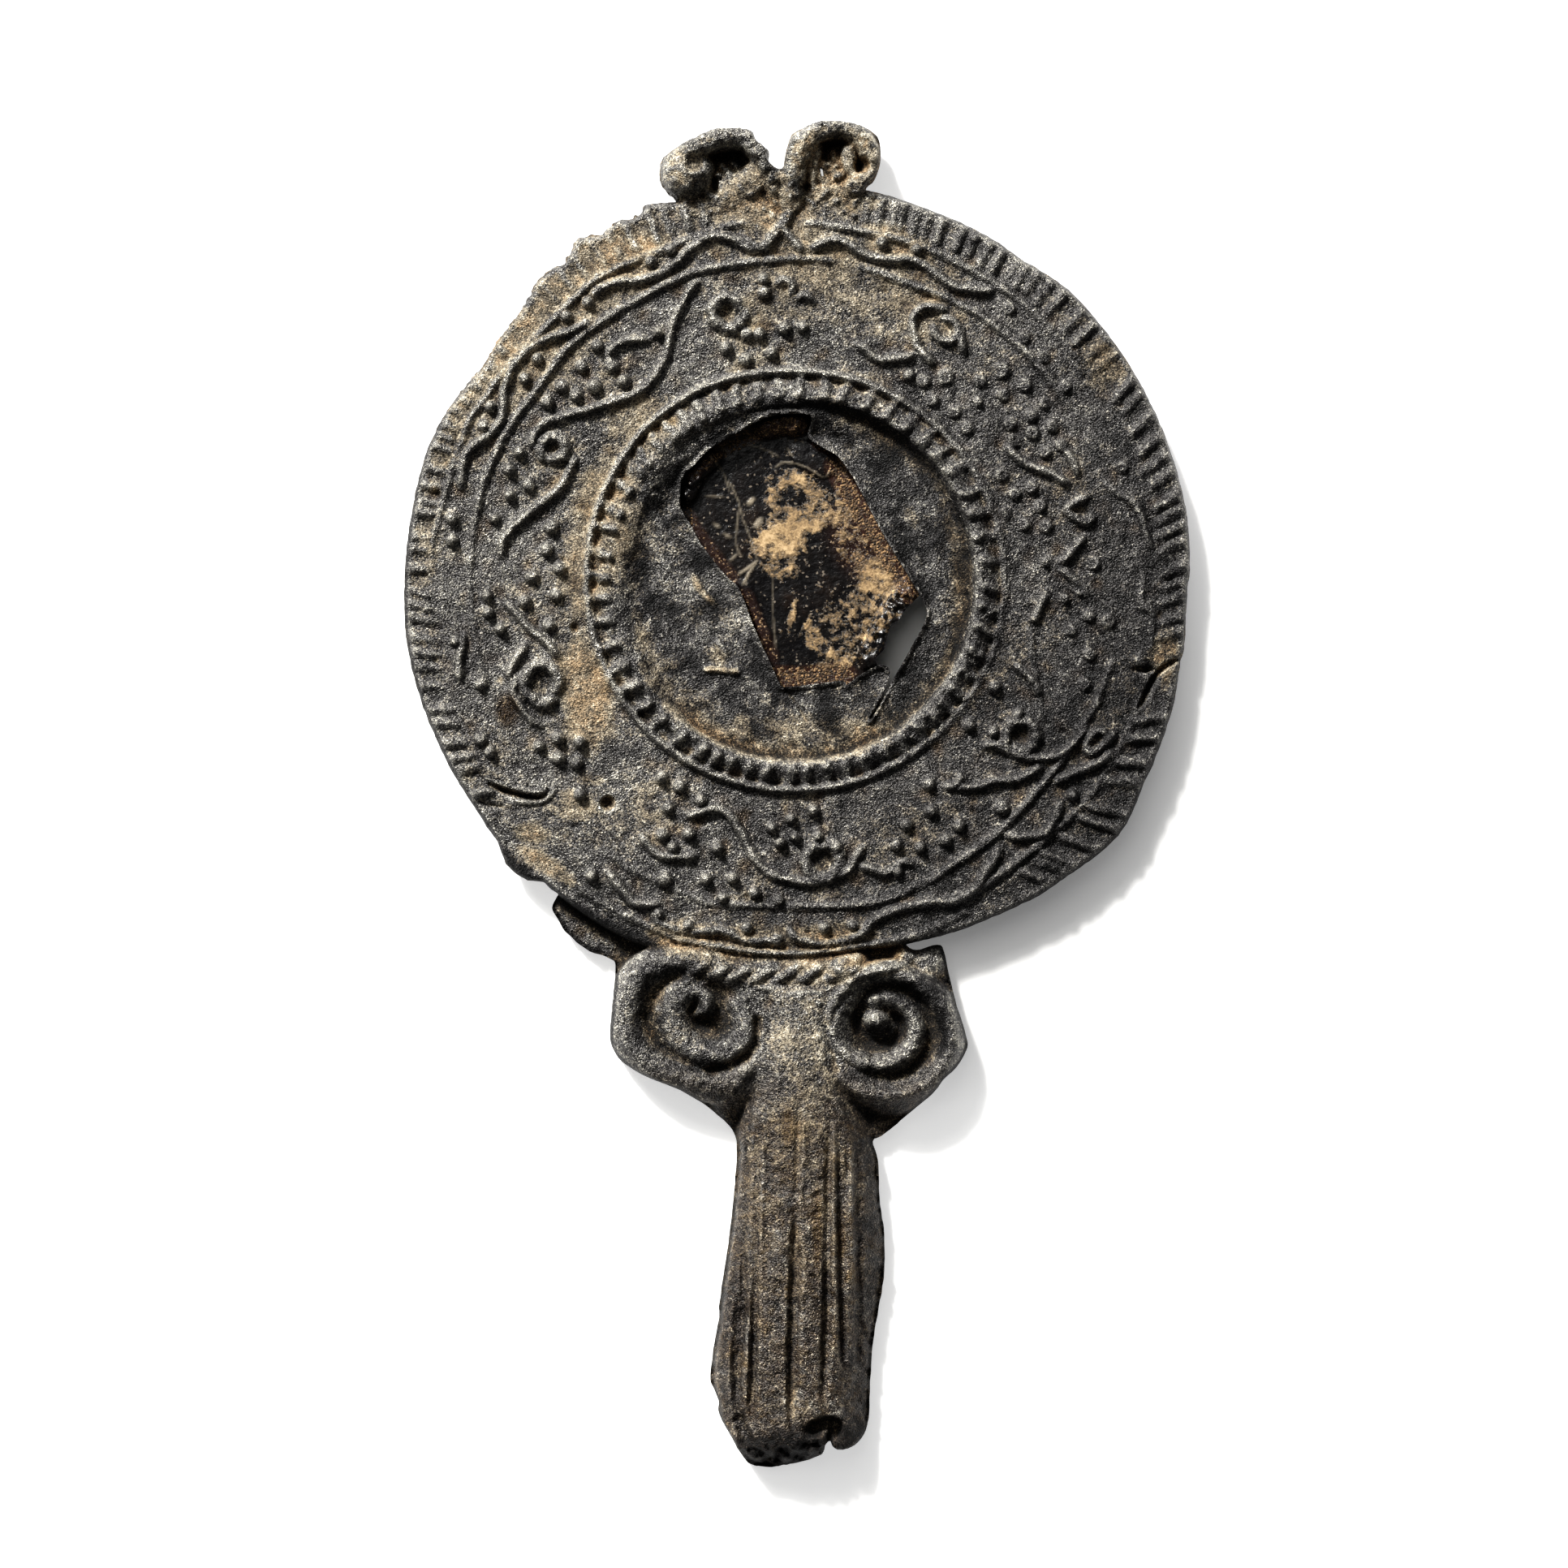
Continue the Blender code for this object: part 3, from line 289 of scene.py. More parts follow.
# Tongues round the rim: clock angles, and by how many degrees their inner ends lean
RIM_TONGUES = (
    ((10.5, 11.6, 13, 14.5, 16.3, 18.3, 20.5, 22.5, 25, 27.3, 29.7, 31.7, 34.2, 36.3, 38, 40.6, 43,
      46.2, 49, 51.8, 54.3), 0.3),
    ((58.5, 61.2, 65, 67.8, 71, 73.5, 76.5, 79, 81.3, 84, 87.2, 90, 92, 95.3, 97.5), 1.6),
    ((110, 113, 116.5, 120, 125, 127.5, 131.5, 134.5, 136.5, 139.3), 2.6),
    ((236.5, 240.5, 243, 245.5, 248.5, 251.5, 254.5, 257.5, 260, 262, 264.5, 267, 269.5), -1.4),
    ((272.5, 275, 277.5, 280, 282, 285, 287.5, 290.5, 292.5, 295, 297.5, 299, 301.5, 303.5, 305.5,
      308), 0),
    ((319.5, 322.5, 325.5, 328.5, 331.5, 334.5, 337.5, 340.5, 343.5, 346.5), 0),
)


def on_disc(angle, radius):
    """A place on the disc by clock angle and radius, in millimetres."""
    turn = math.radians(angle)
    return CENTRE[0] + radius * math.sin(turn), CENTRE[1] + radius * math.cos(turn)


def edge_radius(angle):
    """How far out the worn edge of the disc lies at a clock angle."""
    return np.interp(angle % 360, *zip(*EDGE))


def smooth_line(points, step=0.12, closed=False):
    """An even line of points on a smooth curve through the given ones; extra values ride along."""
    points = np.array(points, dtype=float)
    count = len(points)
    if closed:
        padded = np.vstack([points[-1], points, points[:2]])
    else:
        padded = np.vstack([2 * points[0] - points[1], points, 2 * points[-1] - points[-2]])
    pieces = []
    for index in range(count if closed else count - 1):
        a, b, c, d = padded[index:index + 4]
        length = math.hypot(c[0] - b[0], c[1] - b[1])
        t = np.linspace(0, 1, max(2, int(length / step) + 1), endpoint=False)[:, None]
        pieces.append(0.5 * (2 * b + (c - a) * t + (2 * a - 5 * b + 4 * c - d) * t**2
                             + (3 * b - a - 3 * c + d) * t**3))
    if not closed:
        pieces.append(points[-1:])
    return np.vstack(pieces)


def disc_line(points):
    """A smooth line on the disc from clock angles and radii, with any further values kept."""
    return smooth_line([(*on_disc(point[0], point[1]), *point[2:]) for point in points])


def patch(x, y, reach):
    """The part of the sheet round a place, and each point's offsets from it."""
    left = max(int((x - reach - GRID_X[0]) / PITCH), 0)
    right = max(int((x + reach - GRID_X[0]) / PITCH) + 2, 0)
    foot = max(int((y - reach - GRID_Y[0]) / PITCH), 0)
    head = max(int((y + reach - GRID_Y[0]) / PITCH) + 2, 0)
    place = np.s_[foot:head, left:right]
    return place, X[place] - x, Y[place] - y


def mound(surface, x, y, half, rise, power=1.0):
    """Press up a round mound where it stands above what is there."""
    place, dx, dy = patch(x, y, half)
    share = np.clip(1 - (dx**2 + dy**2) / half**2, 0, 1)
    surface[place] = np.maximum(surface[place], rise * share**power)


def ridge(surface, line, half, rise, power=1.0, ends=0.5):
    """Press up a ridge along a line, lower towards its ends; a third value scales it on the way."""
    along = np.concatenate([[0], np.cumsum(np.hypot(*np.diff(line[:, :2], axis=0).T))])
    for point, run in zip(line, along):
        scale = point[2] if len(point) > 2 else 1.0
        scale *= min(1.0, 0.35 + 0.65 * min(run, along[-1] - run) / ends)
        mound(surface, point[0], point[1], half * (0.75 + 0.25 * scale), rise * scale, power)


def press(surface, rows, power=1.0, ends=0.5, line=smooth_line):
    """Press up a ridge for each row of points, half width and rise."""
    for points, half, rise in rows:
        ridge(surface, line(points), half, rise, power, ends)


def tube(surface, line, radius, height, squash=1.0):
    """Lay a round bar along a line at a height; a third value changes its height on the way."""
    for point in line:
        place, dx, dy = patch(point[0], point[1], radius)
        inside = np.clip(1 - (dx**2 + dy**2) / radius**2, 0, 1)
        lift = height + (point[2] if len(point) > 2 else 0)
        bar = np.where(inside > 0, lift + squash * radius * (np.sqrt(inside) - 1), NO_METAL)
        surface[place] = np.maximum(surface[place], bar)


def blurred(surface, reach):
    """The surface with everything finer than the reach smoothed away."""
    tall, wide = surface.shape
    pad = int(4 * reach / PITCH) + 1
    padded = np.pad(surface, pad, mode="edge")
    fy = np.fft.fftfreq(padded.shape[0], PITCH)[:, None]
    fx = np.fft.rfftfreq(padded.shape[1], PITCH)[None, :]
    spectrum = np.fft.rfft2(padded) * np.exp(-2 * (math.pi * reach) ** 2 * (fx**2 + fy**2))
    return np.fft.irfft2(spectrum, s=padded.shape)[pad:pad + tall, pad:pad + wide]


def rough(size, seed, stretch=(1.0, 1.0)):
    """Even random lumps of about one size, between about -1 and 1."""
    source = np.random.default_rng(seed).standard_normal(X.shape)
    fy = np.fft.fftfreq(X.shape[0], PITCH)[:, None] * stretch[1]
    fx = np.fft.rfftfreq(X.shape[1], PITCH)[None, :] * stretch[0]
    pitch = np.sqrt(fx**2 + fy**2) * size
    spectrum = np.fft.rfft2(source) * np.exp(-((pitch - 0.8) / 0.45) ** 2)
    lumps = np.fft.irfft2(spectrum, s=X.shape)
    return lumps / (2.2 * lumps.std())


def depth_inside(outline, reach=6.0):
    """How far each point of the sheet lies inside an outline; outside it is negative."""
    nearest = np.full(X.shape, reach**2)
    inside = np.zeros(X.shape, dtype=bool)
    outline = np.asarray(outline)
    for start, stop in zip(outline, np.roll(outline, -1, axis=0)):
        middle, half = (start + stop) / 2, np.abs(stop - start).max() / 2
        place, dx, dy = patch(middle[0], middle[1], half + reach)
        dx, dy, run = dx + middle[0] - start[0], dy + middle[1] - start[1], stop - start
        share = np.clip((dx * run[0] + dy * run[1]) / (run @ run), 0, 1)
        away = (dx - share * run[0]) ** 2 + (dy - share * run[1]) ** 2
        nearest[place] = np.minimum(nearest[place], away)
        rows = (GRID_Y > start[1]) != (GRID_Y > stop[1])
        cross = start[0] + (GRID_Y[rows] - start[1]) * run[0] / run[1] if run[1] else 0
        inside[rows] ^= GRID_X[None, :] < np.reshape(cross, (-1, 1))
    return np.where(inside, 1, -1) * np.sqrt(nearest)


def rounded(depth, radius):
    """How far a top lies below its level near an edge that is rounded off."""
    short = radius - np.clip(depth, 0, radius)
    return radius - np.sqrt(radius**2 - short**2)


def blend_between(values, low, high):
    """An eased step from 0 to 1 between two values."""
    t = np.clip((values - low) / (high - low), 0, 1)
    return t * t * (3 - 2 * t)


def sampled(surface, x, y):
    """A surface's values at places given in millimetres."""
    column = np.clip((x - GRID_X[0]) / PITCH, 0, len(GRID_X) - 1.001)
    row = np.clip((y - GRID_Y[0]) / PITCH, 0, len(GRID_Y) - 1.001)
    i, j = row.astype(int), column.astype(int)
    fy, fx = row - i, column - j
    return ((surface[i, j] * (1 - fx) + surface[i, j + 1] * fx) * (1 - fy)
            + (surface[i + 1, j] * (1 - fx) + surface[i + 1, j + 1] * fx) * fy)


DX, DY = X - CENTRE[0], Y - CENTRE[1]
RADIUS = np.hypot(DX, DY)
ANGLE = np.degrees(np.arctan2(DX, DY)) % 360


def around(points, column=1):
    """A value given by clock angle, eased round the whole disc."""
    angles = [point[0] for point in points]
    return np.interp(ANGLE, angles, [point[column] for point in points], period=360)


def towards(angle, low, high):
    """1 on the side of the disc that a clock angle points to, eased to 0 away from it."""
    return blend_between(np.cos(np.radians(ANGLE - angle)), low, high)


# Outlines
rng = np.random.default_rng(7)
edge_line = []
for turn in np.arange(0, 360, 0.5):
    edge_line.append(on_disc(turn, edge_radius(turn) + 0.015 * rng.standard_normal()))
disc_depth = depth_inside(smooth_line(edge_line, closed=True, step=0.2))
stem_depth = depth_inside(smooth_line(STEM_OUTLINE, closed=True, step=0.3))
left_depth = depth_inside(smooth_line(LEFT_SCROLL_OUTLINE, closed=True, step=0.3))
right_depth = depth_inside(smooth_line(RIGHT_SCROLL_OUTLINE, closed=True, step=0.3))
window_depth = depth_inside(smooth_line(WINDOW, closed=True, step=0.25))
slit_depth = depth_inside(SCROLL_SLIT)
ragged = 0.03 * rough(1.4, 3)
# the rim is frayed at the upper left
ragged += 0.13 * towards(318, 0.86, 0.97) * rough(0.6, 4)
outer_depth = np.maximum.reduce([disc_depth, stem_depth, left_depth, right_depth])
lead_depth = np.minimum.reduce([outer_depth + ragged, -window_depth - 0.4 * ragged, -slit_depth])


def disc_relief():
    """Everything that stands up from the disc's band and rim: vine, buds, grapes, lines, wave and tongues,
    and the hollows cut in them.
    """
    relief = np.zeros(X.shape)
    cuts = np.zeros(X.shape)
    luck = np.random.default_rng(11)
    for lines, half, rise in ((INNER_LINE + OUTER_LINE, 0.48, 0.45), (WAVE, 0.54, 0.62), (VINE, 0.5, 0.6)):
        press(relief, [(points, half, rise) for points in lines], line=disc_line)
    for angle, radius, size, gap in ROSES:
        x, y = on_disc(angle, radius)
        turns = np.arange(20, 400, 10)
        reach = size * (1.12 - 0.001 * turns) + 0.08 * luck.standard_normal(len(turns))
        thick = 0.85 + 0.15 * luck.standard_normal(len(turns))
        turns = np.radians(gap + turns)
        ring = np.column_stack([x + reach * np.sin(turns), y + reach * np.cos(turns), thick])
        ridge(relief, smooth_line(ring), 0.62, 0.7, 0.8)
        mound(cuts, x, y, size - 0.2, 0.2)
        mound(cuts, x - 0.35, y + 0.2, 0.45, 0.2)
    for angle, radius, width in GRAPES + tuple((*dot, 1.0) for dot in BAND_DOTS):
        x, y = on_disc(angle, radius)
        worn = 0.72 if 30 < angle < 110 else 1.0
        half = width * 0.6
        mound(relief, x, y, half, (0.8 + 0.16 * luck.random()) * worn, 0.75)
        x += 0.1 * luck.standard_normal()
        mound(cuts, x, y, half * (1.2 - 0.75 * worn), 0.8 * (1.15 - worn), 0.7)
    for angles, lean in RIM_TONGUES:
        for angle in angles:
            angle += 0.3 * luck.standard_normal()
            outer, inner = edge_radius(angle) - 0.35, 32.35 + 0.3 * luck.random()
            middle = (angle + lean / 2, (inner + outer) / 2)
            line = disc_line([(angle + lean, inner), middle, (angle, outer)])
            wide = 0.5 + 0.12 * luck.random()
            strong = 0.38 if angle < 110 else 0.45
            ridge(relief, line, wide, strong * (0.7 + 0.5 * luck.random()))
    return relief, cuts


def disc_top():
    """The disc's front, its ring of bars and its sunken field."""
    crest_radius, crest_rise = around(RING_CREST), around(RING_CREST, 2)
    level = np.interp(RADIUS, (0, 31.5, 33.5, 36), (DISC_FACE, DISC_FACE, RIM_FACE, RIM_FACE - 0.15))
    left = towards(268, 0.55, 1.0)
    # from the groove inside the ridge the ring rises inwards to a lip
    groove = crest_radius - 0.42
    lip = 0.7 - 0.5 * left - 0.1 * towards(140, 0.2, 0.9)
    climb = np.clip((groove - RADIUS) / (groove - 16.7), 0, 1)
    outer_side = -0.22 * np.clip(1 - (RADIUS - groove) / 0.3, 0, 1)
    dish = np.where(RADIUS < groove, (lip + 0.22) * climb**0.7 - 0.22, outer_side)
    bars = np.zeros(X.shape)
    luck = np.random.default_rng(12)
    for angle in RING_BARS:
        strong = (1.0 if 200 < angle < 300 else 0.7) * (0.85 + 0.3 * luck.random())
        lean = 0.6 * luck.standard_normal()
        line = disc_line([(angle - 0.5 + lean, 16.5), (angle + lean, 17.5), (angle + 0.3, 18.45)])
        ridge(bars, line, 0.5 + 0.1 * luck.random(), 0.55 * strong, 0.8, ends=0.25)
    ring = blend_between(RADIUS, 15.9, 16.6) * (1 - blend_between(RADIUS, groove, crest_radius))
    bars = bars + 0.12 * rough(0.9, 13) * ring
    level = level + dish + bars * ring
    steep = towards(150, 0.0, 0.5)
    wall = blend_between(RADIUS, 15.4 - 1.5 * left + 0.1 * steep, 16.5 - 0.4 * left - 0.35 * steep)
    field = FIELD_FACE + 0.12 * (RADIUS / 15.5) ** 4 * left
    field += 0.1 * np.sin(0.19 * DX + 0.6) * np.cos(0.16 * DY)
    # at the upper left the narrow strip beside the window climbs to the ring
    field += 0.85 * towards(338, 0.55, 0.95) * blend_between(RADIUS, 13.2, 15.4)
    # creases and bruises in the thin field
    creases = np.zeros(X.shape)
    press(creases, (
        (((-14.8, 21.5), (-14.1, 25.0), (-12.9, 28.2), (-11.6, 30.4)), 0.35, 0.2),
        (((-8.2, 33.0), (-5.5, 34.1), (-2.5, 34.75), (0.5, 34.9)), 0.4, 0.35),
        (((-9.3, 19.8), (-8.6, 18.3), (-7.3, 17.0)), 0.45, 0.35),
        (((-8.4, 11.2), (-6.3, 11.1), (-5.0, 10.9)), 0.3, 0.4),
        (((-7.3, 13.9), (-6.7, 13.2), (-6.2, 12.2)), 0.35, 0.35),
        (((-14.0, 17.0), (-12.5, 18.5), (-11.0, 21.5)), 0.5, 0.12),
        (((4.0, 32.6), (7.5, 30.0), (9.8, 26.5)), 0.6, 0.12),
        (((12.0, 23.0), (12.8, 19.0), (12.4, 15.0)), 0.7, 0.12),
    ))
    field += creases + 0.05 * rough(1.3, 14)
    level = field + (level - field) * wall
    ridge_round = np.clip(1 - ((RADIUS - crest_radius) / 0.5) ** 2, 0, 1)
    return level + crest_rise * ridge_round


def stem_top():
    """Flange, neck, the lump behind the disc and the volute blocks."""
    level = np.full(X.shape, FLANGE_FACE)
    # the neck block with its slope up to the rope band
    neck = NECK_FACE - 0.55 * blend_between(Y, -15.6, -13.8)
    side = blend_between(7.6 - np.abs(X + 0.8), 0, 1.6)
    level = np.maximum(level, FLANGE_FACE + (neck - FLANGE_FACE) * side * blend_between(Y, -30.0, -25.0))
    # the lump behind the disc at its lower right
    level = np.maximum(level, 2.6 - 0.25 * np.hypot(X - 11.0, Y + 15.2) ** 1.5)
    # volute blocks that slope down all round
    for x, y, reach in ((-9.9, -20.2, 5.6), (8.5, -21.7, 5.4)):
        away = np.hypot(X - x, Y - y) - reach
        level = np.maximum(level, VOLUTE_FACE - 1.5 * np.clip(away, 0, 2))
    return level


def handle_top():
    """The half round handle: a lit left face, a flat front and a steep right side."""
    rows = (-60, -55, -52, -50, -46, -42, -38, -33, -30, -26, -20, -16)
    left, right = [np.interp(Y, rows, sides) for sides in (
        (-6.6, -7.2, -7.7, -7.6, -7.0, -6.5, -5.9, -5.45, -5.5, -4.6, -4.2, -4.2),
        (6.6, 6.5, 6.6, 6.75, 7.2, 7.75, 7.8, 7.3, 6.9, 5.2, 4.6, 4.6))]
    share = (X - left) / (right - left)
    top = np.interp(share, (-0.02, 0.0, 0.04, 0.12, 0.3, 0.5, 0.7, 0.8, 0.88, 0.95, 1.0, 1.02),
                    (NO_METAL, 1.3, 2.7, 3.7, 4.35, 4.6, 4.4, 3.95, 3.1, 2.1, 1.2, NO_METAL))
    front = 0.35 * blend_between(Y, -38.0, -17.0)
    return np.where(Y < -17.3, top - front, NO_METAL)


# Flutes of the handle, mostly worn away at its top; the third value is how much of each is left
FLUTES = (
    ((-4.2, -29.0, 0.3), (-4.4, -36.0, 0.15), (-4.7, -43.0, 0.5), (-4.8, -46.5, 1.0), (-5.2, -50.0, 1.0),
     (-5.45, -54.5, 0.8)),
    ((-3.6, -30.0, 0.1), (-3.6, -40.0, 0.2), (-3.7, -45.0, 0.5), (-3.85, -49.0, 0.8),
     (-3.95, -55.5, 0.6)),
    ((0.2, -27.0, 0.3), (0.1, -30.0, 0.5), (-0.05, -36.0, 0.2), (-0.25, -40.0, 0.8), (-0.4, -46.0, 1.0),
     (-0.55, -51.0, 1.0), (-0.5, -56.0, 0.8)),
    ((2.9, -28.5, 0.3), (2.75, -34.0, 0.6), (2.7, -40.0, 0.6), (2.6, -46.0, 1.0), (2.45, -50.0, 0.9),
     (2.4, -54.0, 0.5)),
    ((3.75, -29.5, 0.2), (3.85, -36.0, 0.5), (3.95, -42.0, 0.5), (4.05, -47.0, 0.8), (4.1, -51.0, 0.6)),
    ((5.3, -31.0, 0.2), (5.4, -37.0, 0.3), (5.5, -43.0, 0.3), (5.4, -50.0, 0.4)),
)
# Narrow crests left standing between them
CRESTS = (
    ((-2.9, -28.4), (-3.0, -33.0), (-3.15, -38.0), (-3.35, -45.5)),
    ((0.65, -28.0), (0.5, -32.0), (0.3, -36.5)),
    ((3.4, -29.0), (3.3, -36.0), (3.4, -44.0)), ((4.75, -29.5), (4.8, -36.0), (4.95, -44.0)),
    ((-4.25, -46.0), (-4.35, -50.0), (-4.5, -54.5)),
)


def flute_cuts():
    """The worn flutes and their narrow crests, and the tool nicks across them."""
    cuts, crests = np.zeros(X.shape), np.zeros(X.shape)
    press(cuts, [(line, 0.45, 0.75) for line in FLUTES], 0.8, 2.0)
    press(crests, [(line, 0.28, 0.18) for line in CRESTS], ends=3.0)
    # deeper hollows low on the handle, and tool nicks across it
    press(cuts, (
        (((-5.0, -44.5), (-5.3, -48.0), (-5.4, -52.5)), 0.55, 0.65),
        (((0.0, -40.0), (-0.3, -46.0), (-0.4, -54.0)), 0.6, 0.6),
        (((3.0, -44.0), (2.7, -47.0), (2.6, -50.5)), 0.5, 0.5), (((-4.0, -50.0), (-4.1, -55.0)), 0.35, 0.4),
        (((4.4, -32.0), (4.3, -36.0)), 0.3, 0.4), (((5.5, -46.5), (6.3, -48.5)), 0.3, 0.3),
    ), 0.8, 1.5)
    luck = np.random.default_rng(15)
    for x, low, high, count in ((-4.2, -41.0, -35.0, 16), (-0.9, -33.5, -28.5, 12),
                                (1.8, -43.0, -34.0, 12), (4.0, -41.0, -30.0, 12),
                                (-4.0, -54.0, -50.0, 5)):
        for y in luck.uniform(low, high, count):
            wide, lean = luck.uniform(0.3, 0.6), luck.uniform(-0.2, 0.2)
            ridge(cuts, smooth_line(((x - wide, y - lean), (x + wide, y + lean))), 0.15, 0.16, ends=0.2)
    return cuts - crests


def volutes(surface):
    """Hollow each volute out and lay its winding ridge, which has soft sides and a narrow crest."""
    for x, y, wide, tall, deep in ((-9.6, -20.2, 6.0, 5.3, 1.1), (8.8, -20.9, 5.3, 5.3, 1.35)):
        away = np.hypot((X - x) / wide, (Y - y) / tall)
        surface -= deep * (1 - blend_between(away, 0.6, 1.05))
    for half, rise, floor, lines in (
        (1.7, 1.2, 2.75, (
            ((-5.0, -16.6, 0.75), (-7.5, -15.0, 0.9), (-10.0, -14.7, 1.0), (-12.6, -15.1, 1.0),
             (-14.5, -16.7, 1.0), (-15.2, -19.3, 1.0), (-14.8, -21.8, 0.95), (-13.3, -23.6, 0.95),
             (-11.0, -24.8, 0.95), (-8.6, -25.5, 0.95), (-6.4, -25.8, 0.85), (-4.6, -24.6, 0.9)),
            ((-5.0, -18.0, 0.75), (-4.4, -20.0, 0.85), (-4.7, -21.7, 0.95), (-6.2, -22.8, 1.0),
             (-8.1, -23.0, 1.0), (-9.8, -22.2, 0.95), (-10.9, -20.8, 0.9), (-11.1, -19.0, 0.85),
             (-10.3, -17.6, 0.8), (-8.9, -17.1, 0.75)))),
        (0.9, 1.1, 2.75, (
            ((-9.2, -17.2, 0.9), (-8.3, -17.7, 1.0), (-8.0, -18.6, 1.0), (-8.3, -19.4, 0.7)),)),
        (1.3, 1.75, 2.3, (
            ((2.7, -20.4, 0.85), (3.1, -18.6, 0.95), (4.4, -17.0, 1.0), (6.4, -16.1, 1.0),
             (8.8, -15.9, 1.0), (11.0, -16.8, 1.0), (12.9, -18.7, 1.0), (13.7, -21.0, 1.0),
             (13.3, -23.4, 1.0), (12.0, -25.3, 1.0), (9.8, -26.4, 1.0), (7.4, -26.6, 1.0),
             (5.2, -25.9, 0.95), (3.5, -24.6, 0.9)),
            ((2.9, -20.2, 0.9), (3.4, -21.8, 0.95), (4.6, -23.2, 1.0), (6.4, -23.9, 1.0),
             (8.3, -23.8, 0.95), (10.0, -22.6, 0.8), (10.6, -20.8, 0.7), (9.9, -19.0, 0.65),
             (8.2, -18.0, 0.65), (6.6, -18.2, 0.6)),
            ((6.5, -19.8, 0.75), (7.6, -20.2, 0.75)))),
    ):
        ridges = np.zeros(X.shape)
        press(ridges, [(line, half, rise) for line in lines], 1.2, 0.4)
        surface = np.maximum(surface, np.where(ridges > 0, floor, 0) + ridges)
    eyes = np.zeros(X.shape)
    press(eyes, (
        (((-8.7, -20.2), (-8.0, -20.4)), 0.9, 0.7), (((-9.6, -19.3), (-9.0, -18.3)), 0.4, 0.5),
        (((-3.5, -19.8), (-3.4, -21.4), (-4.0, -22.6), (-5.6, -23.9), (-8.0, -24.5)), 0.6, 0.45),
        (((5.6, -18.8), (5.3, -20.3), (6.0, -21.6), (7.4, -22.1), (8.9, -21.6), (9.3, -20.4),
          (8.8, -19.5)), 0.6, 0.5),
        (((2.3, -20.6), (2.4, -22.0), (3.2, -23.6)), 0.45, 0.7),
    ), 0.8, 0.3)
    return surface - eyes


def scrolls():
    """Two straps that stand up from the disc's head and curl outwards."""
    lumps = 0.14 * rough(0.9, 51) + 0.08 * rough(0.4, 52)
    left = 3.0 - 1.3 * blend_between(Y, 55.0, 57.3) + lumps
    right = 3.15 - 0.8 * blend_between(Y, 56.2, 58.0) + lumps
    # the slope up from the disc and the strap bent over the top, on each side, and the folds
    # inside the right one
    for scroll, radius, height, squash, points in (
        (left, 1.6, 3.7, 0.9,
         ((-8.5, 52.6, -0.6), (-5.8, 53.4, -0.4), (-3.9, 54.6, 0.0), (-2.6, 56.2, 0.1))),
        (left, 1.15, 4.65, 1.1,
         ((-1.9, 53.8, -1.0), (-2.6, 56.0, -0.1), (-3.7, 57.6, 0.1), (-4.7, 58.4, 0.1),
          (-6.6, 58.5, 0.1), (-8.4, 57.9, 0.0), (-9.6, 57.2, 0.0))),
        (right, 1.25, 4.7, 1.0,
         ((-0.6, 52.5, -1.0), (-0.4, 54.6, -0.3), (-0.3, 56.2, 0.0), (0.5, 57.8, 0.1))),
        (right, 1.0, 4.75, 1.1,
         ((0.5, 57.8, 0.0), (1.6, 58.8, 0.1), (2.9, 59.2, 0.1), (4.3, 59.1, 0.1), (5.6, 58.4, 0.0),
          (6.4, 57.2, -0.1), (6.6, 56.0, -0.2), (6.1, 54.9, -0.4), (5.2, 54.2, -0.6))),
        (right, 0.5, 3.8, 1.1, ((1.5, 54.0, -0.6), (1.4, 55.8, -0.1), (1.9, 57.4, 0.0))),
        (right, 0.7, 4.1, 1.0, ((5.0, 57.9, 0.0), (4.6, 57.1, 0.0), (4.7, 56.1, -0.1), (5.1, 55.3, -0.3))),
        (right, 0.9, 3.4, 1.0, ((2.5, 53.8, 0.0), (3.8, 54.1, -0.2), (5.2, 54.2, 0.0))),
    ):
        tube(scroll, smooth_line(points), radius, height, squash)
    # the fat rolled end and the knob of the left one
    mound(left, -9.8, 55.4, 2.75, 4.85, 0.33)
    mound(left, -2.95, 57.5, 0.7, 4.5, 0.4)
    dents = np.zeros(X.shape)
    for dent in ((-9.1, 56.0, 0.9, 0.7, 0.8), (-2.5, 56.8, 0.35, 0.8, 0.5), (5.8, 55.9, 0.8, 1.3, 0.6),
                 (0.5, 54.2, 0.5, 0.4, 0.7)):
        mound(dents, *dent)
    press(dents, (
        (((-7.5, 56.6), (-6.2, 56.9), (-4.9, 57.1)), 0.5, 0.8), (((-7.4, 55.2), (-7.2, 53.8)), 0.4, 0.6),
        (((2.3, 57.0), (2.8, 57.9), (3.7, 58.2), (4.6, 57.9)), 0.5, 1.0),
    ), 0.8)
    return left - (dents - lumps), right - dents + lumps


